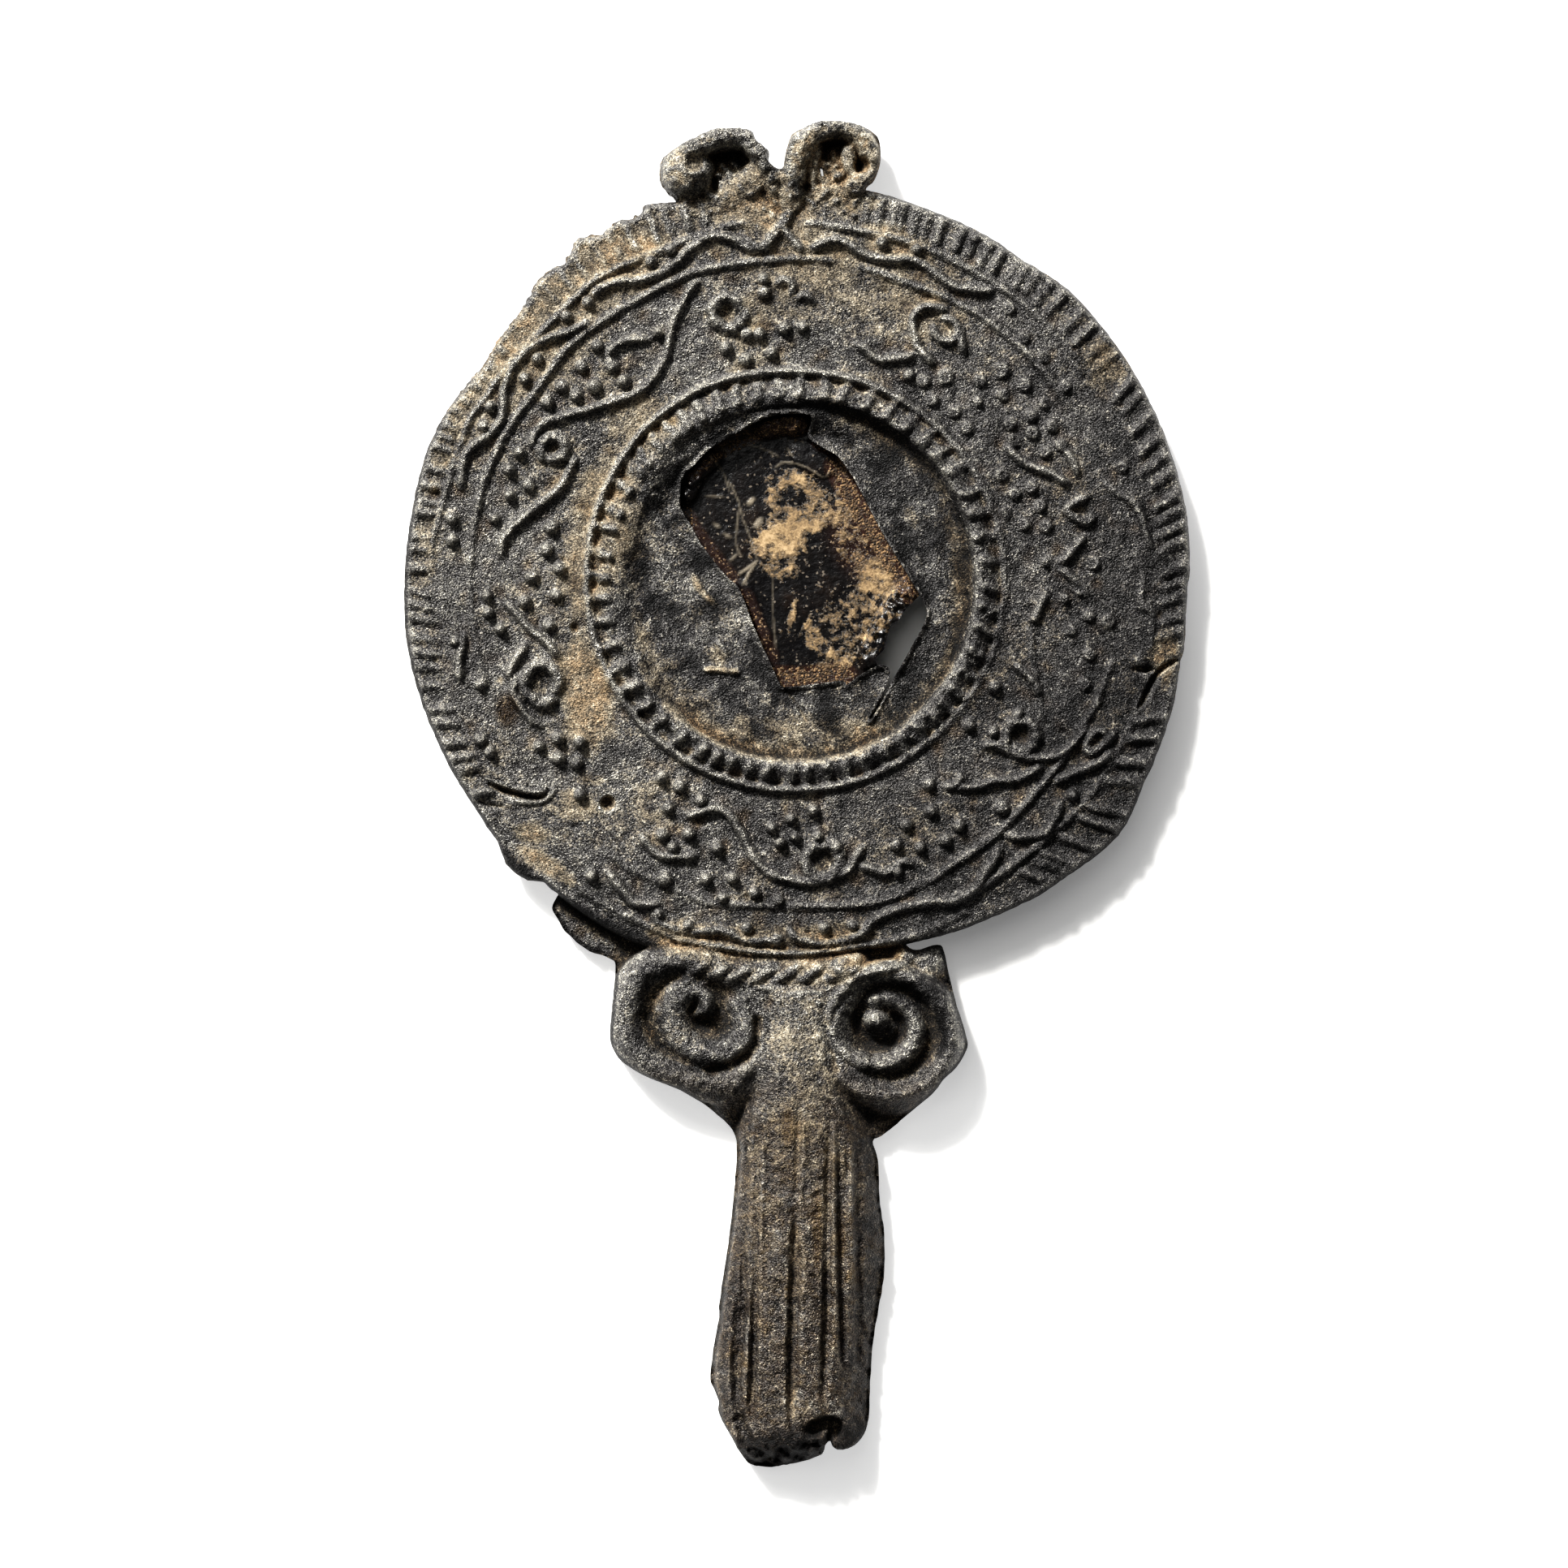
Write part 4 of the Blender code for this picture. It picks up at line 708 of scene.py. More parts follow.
def lead_top():
    """The whole front of the casting, as it came from the mould."""
    relief, cuts = disc_relief()
    warp = 0.12 * rough(22, 21) + 0.05 * rough(6, 22)
    disc = disc_top() + (relief - cuts) * blend_between(RADIUS, 18.2, 19.0)
    # a thin lip left by the mould at the very edge
    disc += 0.12 * np.exp(-((disc_depth - 0.45) / 0.25) ** 2)
    disc = disc + warp - rounded(disc_depth, EDGE_ROUND)
    stem = volutes(stem_top())
    ropes = np.zeros(X.shape)
    for x in (-9.3, -7.3, -5.2, -3.1, -1.0, 1.1, 3.2, 5.2):
        line = smooth_line(((x - 1.0, -16.55), (x, -15.95), (x + 1.1, -15.2)))
        ridge(ropes, line, 0.55, 0.42)
    ridge(ropes, smooth_line(((-3.5, -17.1), (0, -17.25), (3.3, -17.1))), 0.4, 0.25)
    # soil packed under the disc's edge at the right
    ridge(ropes, smooth_line(((3.6, -15.4), (6.4, -14.9), (9.6, -14.1))), 1.2, 1.0, 0.6)
    mound(ropes, -0.9, -19.4, 0.9, 0.25)
    mound(ropes, -4.5, -24.4, 0.8, 0.6)
    stem = np.maximum(stem + ropes, handle_top() - flute_cuts())
    # the slanted break at the end
    slope = 1.0 + 1.45 * (Y + 59.9) + 0.8 * rough(1.3, 31) + 0.3 * rough(0.5, 32)
    stem = np.minimum(stem, np.maximum(slope, 0.9))
    hollow = np.zeros(X.shape)
    ridge(hollow, smooth_line(((1.2, -56.3), (2.4, -55.8), (3.3, -56.0), (3.2, -57.2))), 0.8, 1.3, 0.7)
    ridge(hollow, smooth_line(((-5.2, -55.0), (-4.7, -56.5), (-4.2, -57.6))), 0.7, 0.7, 0.7)
    stem = stem - hollow + 0.4 * warp - rounded(stem_depth, EDGE_ROUND)
    left, right = scrolls()
    top = np.full(X.shape, NO_METAL)
    for depth, part in ((disc_depth, disc), (stem_depth, stem),
                        (left_depth, left - rounded(left_depth, SCROLL_ROUND)),
                        (right_depth, right - rounded(right_depth, SCROLL_ROUND))):
        top = np.maximum(top, np.where(depth > 0, part, NO_METAL))
    return np.where(top > NO_METAL + 1, top, GROUND)


def finished_top(top):
    """The front as the ground left it: softened, lumpy and pitted, with gashes and cracks."""
    top = blurred(top, 0.06)
    top += 0.06 * rough(2.0, 41) + 0.035 * rough(0.9, 42)
    top += (0.06 * rough(0.8, 46) + 0.03 * rough(0.4, 47)) * (Y < -12)
    pits = np.zeros(X.shape)
    luck = np.random.default_rng(44)
    for _ in range(1500):
        x, y = luck.uniform(-36, 36), luck.uniform(-60, 60)
        mound(pits, x, y, luck.uniform(0.18, 0.4), luck.uniform(0.05, 0.16))
    scars = np.zeros(X.shape)
    press(scars, (
        (((229.6, 28.6), (230.2, 29.8), (233, 31.2), (236.5, 32.6)), 0.32, 0.75),
        (((232.3, 32.6), (234, 33.6), (235.2, 34.2)), 0.2, 0.35),
        (((101, 34.9), (104, 33.2), (110, 32.5)), 0.3, 0.6),
        (((103.6, 32.8), (104.2, 31.6), (104.4, 31.0)), 0.35, 0.6),
    ), 0.8, 0.6, disc_line)
    for line in (((-1.2, 9.7), (0.0, 8.0), (1.0, 6.4)), ((8.6, 10.3), (7.5, 8.4), (6.4, 6.6))):
        ridge(scars, smooth_line(line), 0.16, 0.3, ends=0.4)
    mound(scars, *on_disc(220.3, 25.7), 0.75, 0.8, 0.7)
    mound(scars, *on_disc(258.5, 20), 0.5, 0.4, 0.7)
    # the gashes' lips are turned up
    lips = np.zeros(X.shape)
    for line in (((229.0, 28.6), (231.0, 29.7), (234, 31.0)),
                 ((229.6, 27.9), (229.2, 29.6), (231.8, 31.5))):
        ridge(lips, disc_line(line), 0.35, 0.3, 0.8, ends=0.6)
    top += lips
    burr = 0.3 * np.exp(-((window_depth + 0.1) / 0.2) ** 2) * blend_between(window_depth, -0.8, -0.1)
    # earth heaped against the window's top edge
    heap = 0.25 * np.exp(-((X + 1.5) / 2.4) ** 2 - ((Y - 33.8) / 0.5) ** 2)
    top += heap * (1 + rough(0.8, 45)) * (window_depth < 0)
    return np.minimum(top - pits - scars + burr, TOP_LIMIT)


def lead_back():
    """The plainer back: flat where it lay in the mould, with the wall of the glass seat."""
    half = SEAT_WALL / 2
    disc = DISC_BACK * blend_between(np.abs(RADIUS - SEAT_RADIUS - half), half - 0.1, half + 0.25)
    pocket = blend_between(SEAT_RADIUS - RADIUS, 0.0, 0.15)
    disc = disc + (FIELD_BACK - disc) * pocket
    disc += rounded(disc_depth, EDGE_ROUND) * 0.5 * (RADIUS > 25)
    back = np.where(stem_depth > 0.0, np.where(RADIUS > SEAT_RADIUS, 0.0, disc), disc)
    back += np.where(stem_depth > 0, rounded(stem_depth, 0.35) * (disc_depth < 0.3), 0)
    scroll = np.maximum(left_depth, right_depth)
    only_scroll = (scroll > 0) & (disc_depth < 0.4)
    back = np.where(only_scroll, SCROLL_BACK + rounded(scroll, 0.35), back)
    rub = 0.06 * rough(3.0, 51) + 0.05 * rough(1.1, 52)
    back = blurred(back, 0.08) + np.abs(rub) * (RADIUS > SEAT_RADIUS + 0.3)
    return np.maximum(back, 0.0)


def select_only(thing):
    bpy.ops.object.select_all(action="DESELECT")
    thing.select_set(True)
    bpy.context.view_layer.objects.active = thing


def places_of(mesh):
    """The places of a mesh's corners, a row each."""
    place = np.empty(3 * len(mesh.vertices))
    mesh.vertices.foreach_get("co", place)
    return place.reshape(-1, 3)


def picked(mesh):
    """Which corners of a mesh are selected."""
    chosen = np.empty(len(mesh.vertices), dtype=bool)
    mesh.vertices.foreach_get("select", chosen)
    return chosen


def cast_solid(name, depth, top, back, pitch, triangles):
    """A fine sheet cut to the outline, thickened and pressed to its front and back heights."""
    rows, columns = np.where(depth > 0)
    left, right = GRID_X[columns.min()] - 0.5, GRID_X[columns.max()] + 0.5
    foot, head = GRID_Y[rows.min()] - 0.5, GRID_Y[rows.max()] + 0.5
    across, up = int((right - left) / pitch), int((head - foot) / pitch)
    bpy.ops.object.select_all(action="DESELECT")
    bpy.ops.mesh.primitive_grid_add(x_subdivisions=across, y_subdivisions=up, size=1.0, calc_uvs=False)
    solid = bpy.context.object
    solid.name = solid.data.name = name
    mesh = solid.data
    place = places_of(mesh)
    place[:, 0] = (left + (place[:, 0] + 0.5) * (right - left)) * MM
    place[:, 1] = (foot + (place[:, 1] + 0.5) * (head - foot)) * MM
    mesh.vertices.foreach_set("co", place.ravel())
    # cut away what lies outside, then press the edge onto the outline
    outside = sampled(depth, place[:, 0] / MM, place[:, 1] / MM) < -0.35 * pitch
    bpy.ops.object.mode_set(mode="EDIT")
    bpy.ops.mesh.select_mode(type="VERT")
    bpy.ops.mesh.select_all(action="DESELECT")
    bpy.ops.object.mode_set(mode="OBJECT")
    mesh.vertices.foreach_set("select", outside)
    bpy.ops.object.mode_set(mode="EDIT")
    bpy.ops.mesh.delete(type="VERT")
    bpy.ops.mesh.select_all(action="SELECT")
    bpy.ops.mesh.delete_loose(use_verts=True, use_edges=True, use_faces=False)
    bpy.ops.mesh.select_all(action="DESELECT")
    bpy.ops.mesh.select_non_manifold(extend=False, use_wire=False, use_boundary=True,
                                     use_multi_face=False, use_non_contiguous=False, use_verts=False)
    bpy.ops.object.mode_set(mode="OBJECT")
    edge, place = picked(mesh), places_of(mesh)
    slope_y, slope_x = np.gradient(depth, PITCH)
    for _ in range(3):
        x, y = place[edge, 0] / MM, place[edge, 1] / MM
        gx, gy = sampled(slope_x, x, y), sampled(slope_y, x, y)
        step = np.clip(sampled(depth, x, y), -pitch, pitch) / np.maximum(gx**2 + gy**2, 0.25)
        place[edge, 0] -= step * gx * MM
        place[edge, 1] -= step * gy * MM
    mesh.vertices.foreach_set("co", place.ravel())
    bpy.ops.object.mode_set(mode="EDIT")
    bpy.ops.mesh.select_all(action="SELECT")
    bpy.ops.mesh.extrude_region_move(TRANSFORM_OT_translate={"value": (0, 0, MM)})
    bpy.ops.object.mode_set(mode="OBJECT")
    front, place = picked(mesh), places_of(mesh)
    x, y = place[:, 0] / MM, place[:, 1] / MM
    low, high = sampled(back, x, y), sampled(top, x, y)
    high = np.maximum(high, low + THINNEST)
    place[:, 2] = np.where(front, high, low) * MM
    mesh.vertices.foreach_set("co", place.ravel())
    bpy.ops.object.mode_set(mode="EDIT")
    bpy.ops.mesh.select_all(action="SELECT")
    bpy.ops.mesh.normals_make_consistent(inside=False)
    bpy.ops.mesh.quads_convert_to_tris()
    bpy.ops.object.mode_set(mode="OBJECT")
    select_only(solid)
    if len(mesh.polygons) > triangles:
        thinning = solid.modifiers.new("thinning", "DECIMATE")
        thinning.ratio = triangles / len(mesh.polygons)
        bpy.ops.object.modifier_apply(modifier=thinning.name)
    bpy.ops.object.shade_smooth_by_angle(angle=math.radians(CREASE_ANGLE))
    return solid


def paint(solid, name, front_value, top, back, back_value=0.0):
    """Write a map of the front into the mesh, so that the material can read it."""
    x, y, z = places_of(solid.data).T / MM
    high, low = sampled(top, x, y), sampled(back, x, y)
    share = np.clip((z - low) / np.maximum(high - low, 0.3), 0, 1)
    share = blend_between(share, 0.3, 0.8)
    values = back_value + (sampled(front_value, x, y) - back_value) * share
    layer = solid.data.attributes.new(name, "FLOAT", "POINT")
    layer.data.foreach_set("value", values.astype(np.float32))


def colour(code):
    """An sRGB hex colour as linear values."""
    parts = [int(code[index:index + 2], 16) / 255 for index in (1, 3, 5)]
    return (*[part / 12.92 if part <= 0.04045 else ((part + 0.055) / 1.055) ** 2.4
              for part in parts], 1.0)


def new_material(name):
    material = bpy.data.materials.new(name)
    material.use_nodes = True
    material.node_tree.nodes.clear()
    return material, material.node_tree


def add_node(tree, kind, inputs=(), stops=(), **settings):
    """A node with its settings. An input is a plain value, an output, or a node for its first output."""
    node = tree.nodes.new("ShaderNode" + kind)
    for key, value in settings.items():
        setattr(node, key, value)
    for key, value in dict(inputs).items():
        if isinstance(value, bpy.types.Node):
            value = next(output for output in value.outputs if output.enabled)
        if isinstance(value, bpy.types.NodeSocket):
            tree.links.new(value, node.inputs[key])
        else:
            node.inputs[key].default_value = value
    for index, (position, code) in enumerate(stops):
        if index > 1:
            node.color_ramp.elements.new(position)
        element = node.color_ramp.elements[index]
        element.position, element.color = position, colour(code)
    return node


def lead_material():
    """Cast lead, dulled and corroded in the ground: charcoal with pale rubbed relief and painted
    highlights, painted shading and dark patina, and tan soil.
    """
    material, tree = new_material("cast_lead_corroded")
    place = add_node(tree, "TexCoord").outputs["Object"]
    soil, worn, painted_shade_and_patina, rust = [
        add_node(tree, "Attribute", attribute_name=name).outputs["Fac"]
        for name in ("soil", "worn", "painted_shade_and_patina", "rust")]
    # sand grains of 0.16 mm, somewhat coarser than the real ones so that they show
    sand = add_node(tree, "TexVoronoi", {"Vector": place, "Scale": 1 / (0.16 * MM)})
    speck = add_node(tree, "SeparateColor", {"Color": sand.outputs["Color"]})
    grain, crust, mottle, cloud = [
        add_node(tree, "TexNoise",
                 {"Vector": place, "Scale": 1 / (size * MM), "Detail": detail, "Roughness": 0.6})
        for size, detail in ((0.12, 1.0), (0.6, 2.0), (1.6, 3.0), (6.0, 3.0))]

    # pale threads where fine cracks in the crust have filled: only here and there
    wander = add_node(tree, "TexNoise",
                      {"Vector": place, "Scale": 1 / (0.7 * MM), "Detail": 2.0})
    bent = add_node(tree, "VectorMath",
                    {0: wander.outputs["Color"], 1: (1.2 * MM,) * 3, 2: place}, operation="MULTIPLY_ADD")
    crack = add_node(tree, "TexVoronoi", {"Vector": bent, "Scale": 1 / (1.1 * MM)},
                     feature="DISTANCE_TO_EDGE")
    crack = add_node(tree, "MapRange", {"Value": crack, "From Min": 0.07, "From Max": 0.0})
    thread = add_node(tree, "MapRange", {"Value": crust, "From Min": 0.48, "From Max": 0.58})
    thread = add_node(tree, "Math", {0: crack, 1: thread}, operation="MULTIPLY")

    # sparse bright flecks and dark pinholes
    pocks = add_node(tree, "TexNoise",
                     {"Vector": place, "Scale": 1 / (0.22 * MM), "Detail": 2.0, "Roughness": 0.7})
    fleck = add_node(tree, "MapRange", {"Value": pocks, "From Min": 0.59, "From Max": 0.7})
    pinhole = add_node(tree, "MapRange", {"Value": pocks, "From Min": 0.4, "From Max": 0.3})

    # how light each spot is: every pattern swings about its middle
    weights = ((speck, 0.2), (grain, 0.85), (crust, 0.15), (mottle, 0.45), (cloud, 0.4))
    tone = 0.47 - 0.5 * sum(weight for _, weight in weights)
    # worn lightens the rubbed relief and paints highlights on it; the shade map darkens with painted shade
    # and dark patina
    for pattern, weight in weights + ((thread, 0.3), (fleck, 0.3), (pinhole, -0.3), (worn, 0.22),
                                       (painted_shade_and_patina, -0.5)):
        tone = add_node(tree, "Math", {0: pattern, 1: weight, 2: tone},
                        operation="MULTIPLY_ADD")
    # the thick patina lies smoother
    calm = add_node(tree, "Math", {0: rust, 1: 0.4}, operation="MULTIPLY")
    tone = add_node(tree, "Mix", {"Factor": calm, "A": tone, "B": 0.45})
    lead = add_node(tree, "ValToRGB", {"Fac": tone}, stops=(
        (0.0, "#060606"), (0.26, "#1d1d1e"), (0.43, "#424142"), (0.62, "#6e6d6b"), (0.82, "#a5a298"),
        (1.0, "#dfdacd")))
    earth = add_node(tree, "ValToRGB", {"Fac": tone}, stops=(
        (0.0, "#0d0b08"), (0.25, "#3a3227"), (0.43, "#6e6454"), (0.63, "#a69a84"), (0.83, "#d6cbb4"),
        (1.0, "#f7efdf")))
    # where it is thickest the soil is a warmer and lighter tan
    thick = add_node(tree, "ValToRGB", {"Fac": tone}, stops=(
        (0.0, "#221a11"), (0.25, "#56442f"), (0.43, "#8b7354"), (0.63, "#ba9d78"), (0.83, "#e0c9a5"),
        (1.0, "#fbeed8")))
    patina = add_node(tree, "ValToRGB", {"Fac": tone}, stops=(
        (0.0, "#070504"), (0.25, "#231a11"), (0.43, "#453626"), (0.63, "#74603f"), (0.83, "#a98f66"),
        (1.0, "#d6c19a")))
    # soil clings in patches, grain by grain at their edges
    cover = soil
    for pattern, weight in ((mottle, 1.3), (pocks, 0.7), (speck, 0.3)):
        cover = add_node(tree, "Math", {0: pattern, 1: weight, 2: cover},
                         operation="MULTIPLY_ADD")
    depth = add_node(tree, "MapRange", {"Value": cover, "From Min": 1.95, "From Max": 2.4,
                                                  "To Max": 0.9})
    earth = add_node(tree, "Mix", {"Factor": depth, "A": earth, "B": thick}, data_type="RGBA")
    cover = add_node(tree, "MapRange", {"Value": cover, "From Min": 1.45, "From Max": 1.85,
                                                  "To Min": 0.06, "To Max": 0.9})
    base = add_node(tree, "Mix", {"Factor": cover, "A": lead, "B": earth}, data_type="RGBA")
    base = add_node(tree, "Mix", {"Factor": rust, "A": base, "B": patina}, data_type="RGBA")

    # heights in millimetres: round sand grains, corrosion grain and lumps
    height = 0.0
    for pattern, size in ((sand, -0.06), (grain, 0.1), (pocks, 0.09), (crust, 0.06), (mottle, 0.26),
                          (thread, 0.03)):
        height = add_node(tree, "Math", {0: pattern, 1: size, 2: height},
                          operation="MULTIPLY_ADD")
    bump = add_node(tree, "Bump", {"Height": height, "Strength": 1.0, "Distance": MM})
    gloss = add_node(tree, "MapRange", {"Value": cover, "To Min": 0.34, "To Max": 0.8})
    gloss = add_node(tree, "Math", {0: painted_shade_and_patina, 1: 0.3, 2: gloss}, operation="MULTIPLY_ADD")
    metal = add_node(tree, "MapRange", {"Value": cover, "To Min": 0.5, "To Max": 0.0})
    shader = add_node(tree, "BsdfPrincipled", {
        "Base Color": base, "Metallic": metal, "Roughness": gloss, "Normal": bump})
    add_node(tree, "OutputMaterial", {"Surface": shader})
    return material


def glass_material():
    """Old blown glass, silvered and decayed: brown black and glossy, under tan crust and sandy earth."""
    material, tree = new_material("mirror_glass_decayed")
    place = add_node(tree, "TexCoord").outputs["Object"]
    crust, brown, scratch = [
        add_node(tree, "Attribute", attribute_name=name).outputs["Fac"]
        for name in ("crust", "brown", "scratch")]
    # loose sand grains of 0.18 mm, nearly twice as coarse as the real ones so that they show
    sand = add_node(tree, "TexVoronoi", {"Vector": place, "Scale": 1 / (0.18 * MM)})
    speck = add_node(tree, "SeparateColor", {"Color": sand.outputs["Color"]})
    fine, flakes, cloud = [
        add_node(tree, "TexNoise",
                 {"Vector": place, "Scale": 1 / (size * MM), "Detail": detail, "Roughness": 0.7})
        for size, detail in ((0.2, 2.0), (0.9, 5.0), (3.5, 3.0))]

    # the bare glass, with a little bright dust on it
    bare = add_node(tree, "ValToRGB", {"Fac": cloud}, stops=(
        (0.3, "#08070a"), (0.5, "#110f0f"), (0.62, "#191412"), (0.75, "#2a1f18")))
    red = add_node(tree, "Math", {0: brown, 1: 1.6}, operation="MULTIPLY", use_clamp=True)
    bare = add_node(tree, "Mix", {"Factor": red, "A": bare, "B": colour("#35211a")},
                    data_type="RGBA")
    dust = add_node(tree, "MapRange", {"Value": speck, "From Min": 0.962, "From Max": 0.985,
                                                 "To Max": 0.45})
    bare = add_node(tree, "Mix", {"Factor": dust, "A": bare, "B": colour("#a89c8c")},
                    data_type="RGBA")
    # crust that flakes off in small islands
    chips = add_node(tree, "TexVoronoi", {"Vector": place, "Scale": 1 / (0.45 * MM)})
    chip = add_node(tree, "SeparateColor", {"Color": chips.outputs["Color"]})
    cover = crust
    for pattern, weight in ((flakes, 1.6), (chip, 0.4), (fine, 0.3)):
        cover = add_node(tree, "Math", {0: pattern, 1: weight, 2: cover},
                         operation="MULTIPLY_ADD")
    cover = add_node(tree, "MapRange", {"Value": cover, "From Min": 1.5, "From Max": 1.95})
    tone = -0.02
    for pattern, weight in ((cloud, 0.6), (flakes, 0.5), (fine, 0.45), (speck, 0.07)):
        tone = add_node(tree, "Math", {0: pattern, 1: weight, 2: tone},
                        operation="MULTIPLY_ADD")
    tan = add_node(tree, "ValToRGB", {"Fac": tone}, stops=(
        (0.5, "#3c3226"), (0.66, "#746148"), (0.82, "#a58a64"), (1.0, "#d0b48b")))
    base = add_node(tree, "Mix", {"Factor": cover, "A": bare, "B": tan}, data_type="RGBA")
    # brown earth, grain by grain
    earth = add_node(tree, "Math", {0: speck, 1: 0.9, 2: brown}, operation="MULTIPLY_ADD")
    earth = add_node(tree, "MapRange", {"Value": earth, "From Min": 0.95, "From Max": 1.2})
    grains = add_node(tree, "Math", {0: speck, 1: 0.45, 2: fine}, operation="MULTIPLY_ADD")
    grains = add_node(tree, "ValToRGB", {"Fac": grains}, stops=(
        (0.4, "#14100b"), (0.65, "#37291c"), (0.85, "#614c35"), (1.0, "#a5855f")))
    base = add_node(tree, "Mix", {"Factor": earth, "A": base, "B": grains}, data_type="RGBA")
    base = add_node(tree, "Mix", {"Factor": scratch, "A": base, "B": colour("#b3a793")},
                    data_type="RGBA")
    matt = add_node(tree, "Math", {0: cover, 1: earth}, operation="MAXIMUM")
    gloss = add_node(tree, "MapRange", {"Value": matt, "To Min": 0.27, "To Max": 0.75})

    # heights in millimetres: the crust's thickness, grains where the earth is, and the glass's waves
    dent = add_node(tree, "Math", {0: sand, 1: earth}, operation="MULTIPLY")
    height = add_node(tree, "Math", {0: cover, 1: 0.05}, operation="MULTIPLY")
    for pattern, size in ((dent, -0.14), (fine, 0.04), (flakes, 0.08), (cloud, 0.3), (scratch, 0.05)):
        height = add_node(tree, "Math", {0: pattern, 1: size, 2: height},
                          operation="MULTIPLY_ADD")
    bump = add_node(tree, "Bump", {"Height": height, "Strength": 1.0, "Distance": MM})
    shader = add_node(tree, "BsdfPrincipled", {
        "Base Color": base, "Roughness": gloss, "Normal": bump})
    add_node(tree, "OutputMaterial", {"Surface": shader})
    return material


def blot(surface, x, y, half_x, half_y, strength, turn=0.0):
    """A soft patch on a map."""
    place, dx, dy = patch(x, y, 1.6 * max(half_x, half_y))
    c, s = math.cos(math.radians(turn)), math.sin(math.radians(turn))
    away = np.hypot((dx * c + dy * s) / half_x, (-dx * s + dy * c) / half_y)
    surface[place] = np.maximum(surface[place], strength * (1 - blend_between(away, 0.5, 1.5)))


def lead_maps(top):
    """Maps of soil, rubbed relief with painted highlights, painted shading with dark patina, and rust for
    the front.
    """
    broad, near = blurred(top, 1.2), blurred(top, 0.35)
    raised, sunk = top - near, broad - top
    # the raised relief is lighter: partly rubbed wear, partly a painted highlight along its narrow crests
    worn = 0.35 * blend_between(raised, 0.05, 0.22)
    worn += 0.5 * blend_between(top - blurred(top, 0.2), 0.015, 0.07)
    # a painted highlight along the window's torn edge, on the side that faces the light
    torn = np.exp(-((window_depth + 0.15) / 0.16) ** 2) * blend_between(2.0 - X + 0.3 * (Y - 20), -1, 4)
    worn = np.maximum(worn, 0.95 * torn)
    press(worn, [(line, 0.18, 0.6) for line in CRESTS], ends=3.0)
    rim = blend_between(RADIUS, 31.3, 33.0) * towards(295, 0.1, 0.8)
    soil = 0.11 + 0.25 * rim + 0.22 * rough(9, 61) + 0.5 * blend_between(sunk, 0.05, 0.45)
    places = np.zeros(X.shape)
    for place in (
        (-24.0, 41.0, 4.5, 12.0, 0.5, -38), (-17.5, 47.0, 6.0, 3.5, 0.5, 30),
        (-17.6, 22.5, 3.0, 7.5, 0.75, -16),
        (-18.8, 9.5, 2.2, 5.0, 0.95, 10), (-14.0, 33.0, 3.0, 3.0, 0.5, 0), (-2.0, -13.3, 9.0, 1.6, 0.6, 0),
        (-17.5, -1.0, 7.0, 3.0, 0.25, 15), (0.5, -27.0, 3.5, 8.0, 0.35, 0), (-2.0, 53.0, 5.0, 3.0, 0.6, 0),
        (8.5, 49.0, 3.5, 1.6, 0.7, -15), (28.0, 38.5, 2.5, 2.0, 0.6, 40), (-4.2, -35.0, 1.6, 9.0, 0.4, 0),
        (33.0, 12.0, 1.5, 2.5, 0.8, 10), (0.0, 5.2, 8.0, 1.8, 0.45, 0), (-9.5, -13.0, 4.0, 1.6, 0.6, -10),
        (-10.0, 9.0, 2.0, 5.0, 0.4, 30), (3.0, 45.5, 11.0, 4.5, 0.42, -10),
        (4.0, 56.0, 5.0, 4.0, 0.8, 0), (-9.0, 55.5, 4.0, 3.5, 0.3, 0), (0.0, -20.0, 3.0, 5.0, 0.42, 0),
        (-0.5, -15.9, 9.0, 1.3, 0.45, 0), (-19.5, -0.8, 2.4, 1.6, 0.75, 0),
        (-22.0, -6.3, 3.0, 0.8, 0.8, -32),
        (-18.4, 1.4, 1.8, 0.7, 0.6, 0), (-23.5, -3.2, 1.4, 1.0, 0.7, 0), (7.0, -14.3, 3.5, 0.8, 0.9, 12),
    ):
        blot(places, *place)
    soil = np.clip(soil + places - 0.5 * blend_between(raised, 0.03, 0.16), 0, 1.6)
    press(soil, (
        (((-13.8, 12.0), (-11.5, 8.3), (-7.5, 5.2), (-3.0, 3.8), (1.5, 3.4), (5.5, 4.3),
          (9.5, 6.6)), 0.9, 0.6),
        (((-9.3, 19.8), (-8.6, 18.3), (-7.3, 17.0)), 0.4, 1.0),
        (((-8.4, 11.2), (-6.3, 11.1), (-5.0, 10.9)), 0.4, 1.0),
        (((-7.8, 13.2), (-6.9, 12.2), (-6.6, 11.4)), 0.9, 0.7), (((-5.5, 6.6), (-4.0, 6.8)), 0.6, 0.7),
        (((-1.0, 6.8), (0.6, 6.4)), 0.6, 0.7), (((-14.4, 16.0), (-13.2, 12.5)), 0.9, 0.6),
        (((13.5, 25.0), (14.3, 20.0), (14.4, 15.0), (13.2, 11.0)), 0.7, 0.8),
        (((9.6, 26.0), (10.6, 23.4)), 0.7, 0.5),
    ), 0.7)
    rust = np.zeros(X.shape)
    ridge(rust, smooth_line(((4.0, -15.0), (6.5, -14.6), (9.4, -13.9))), 0.5, 0.7)
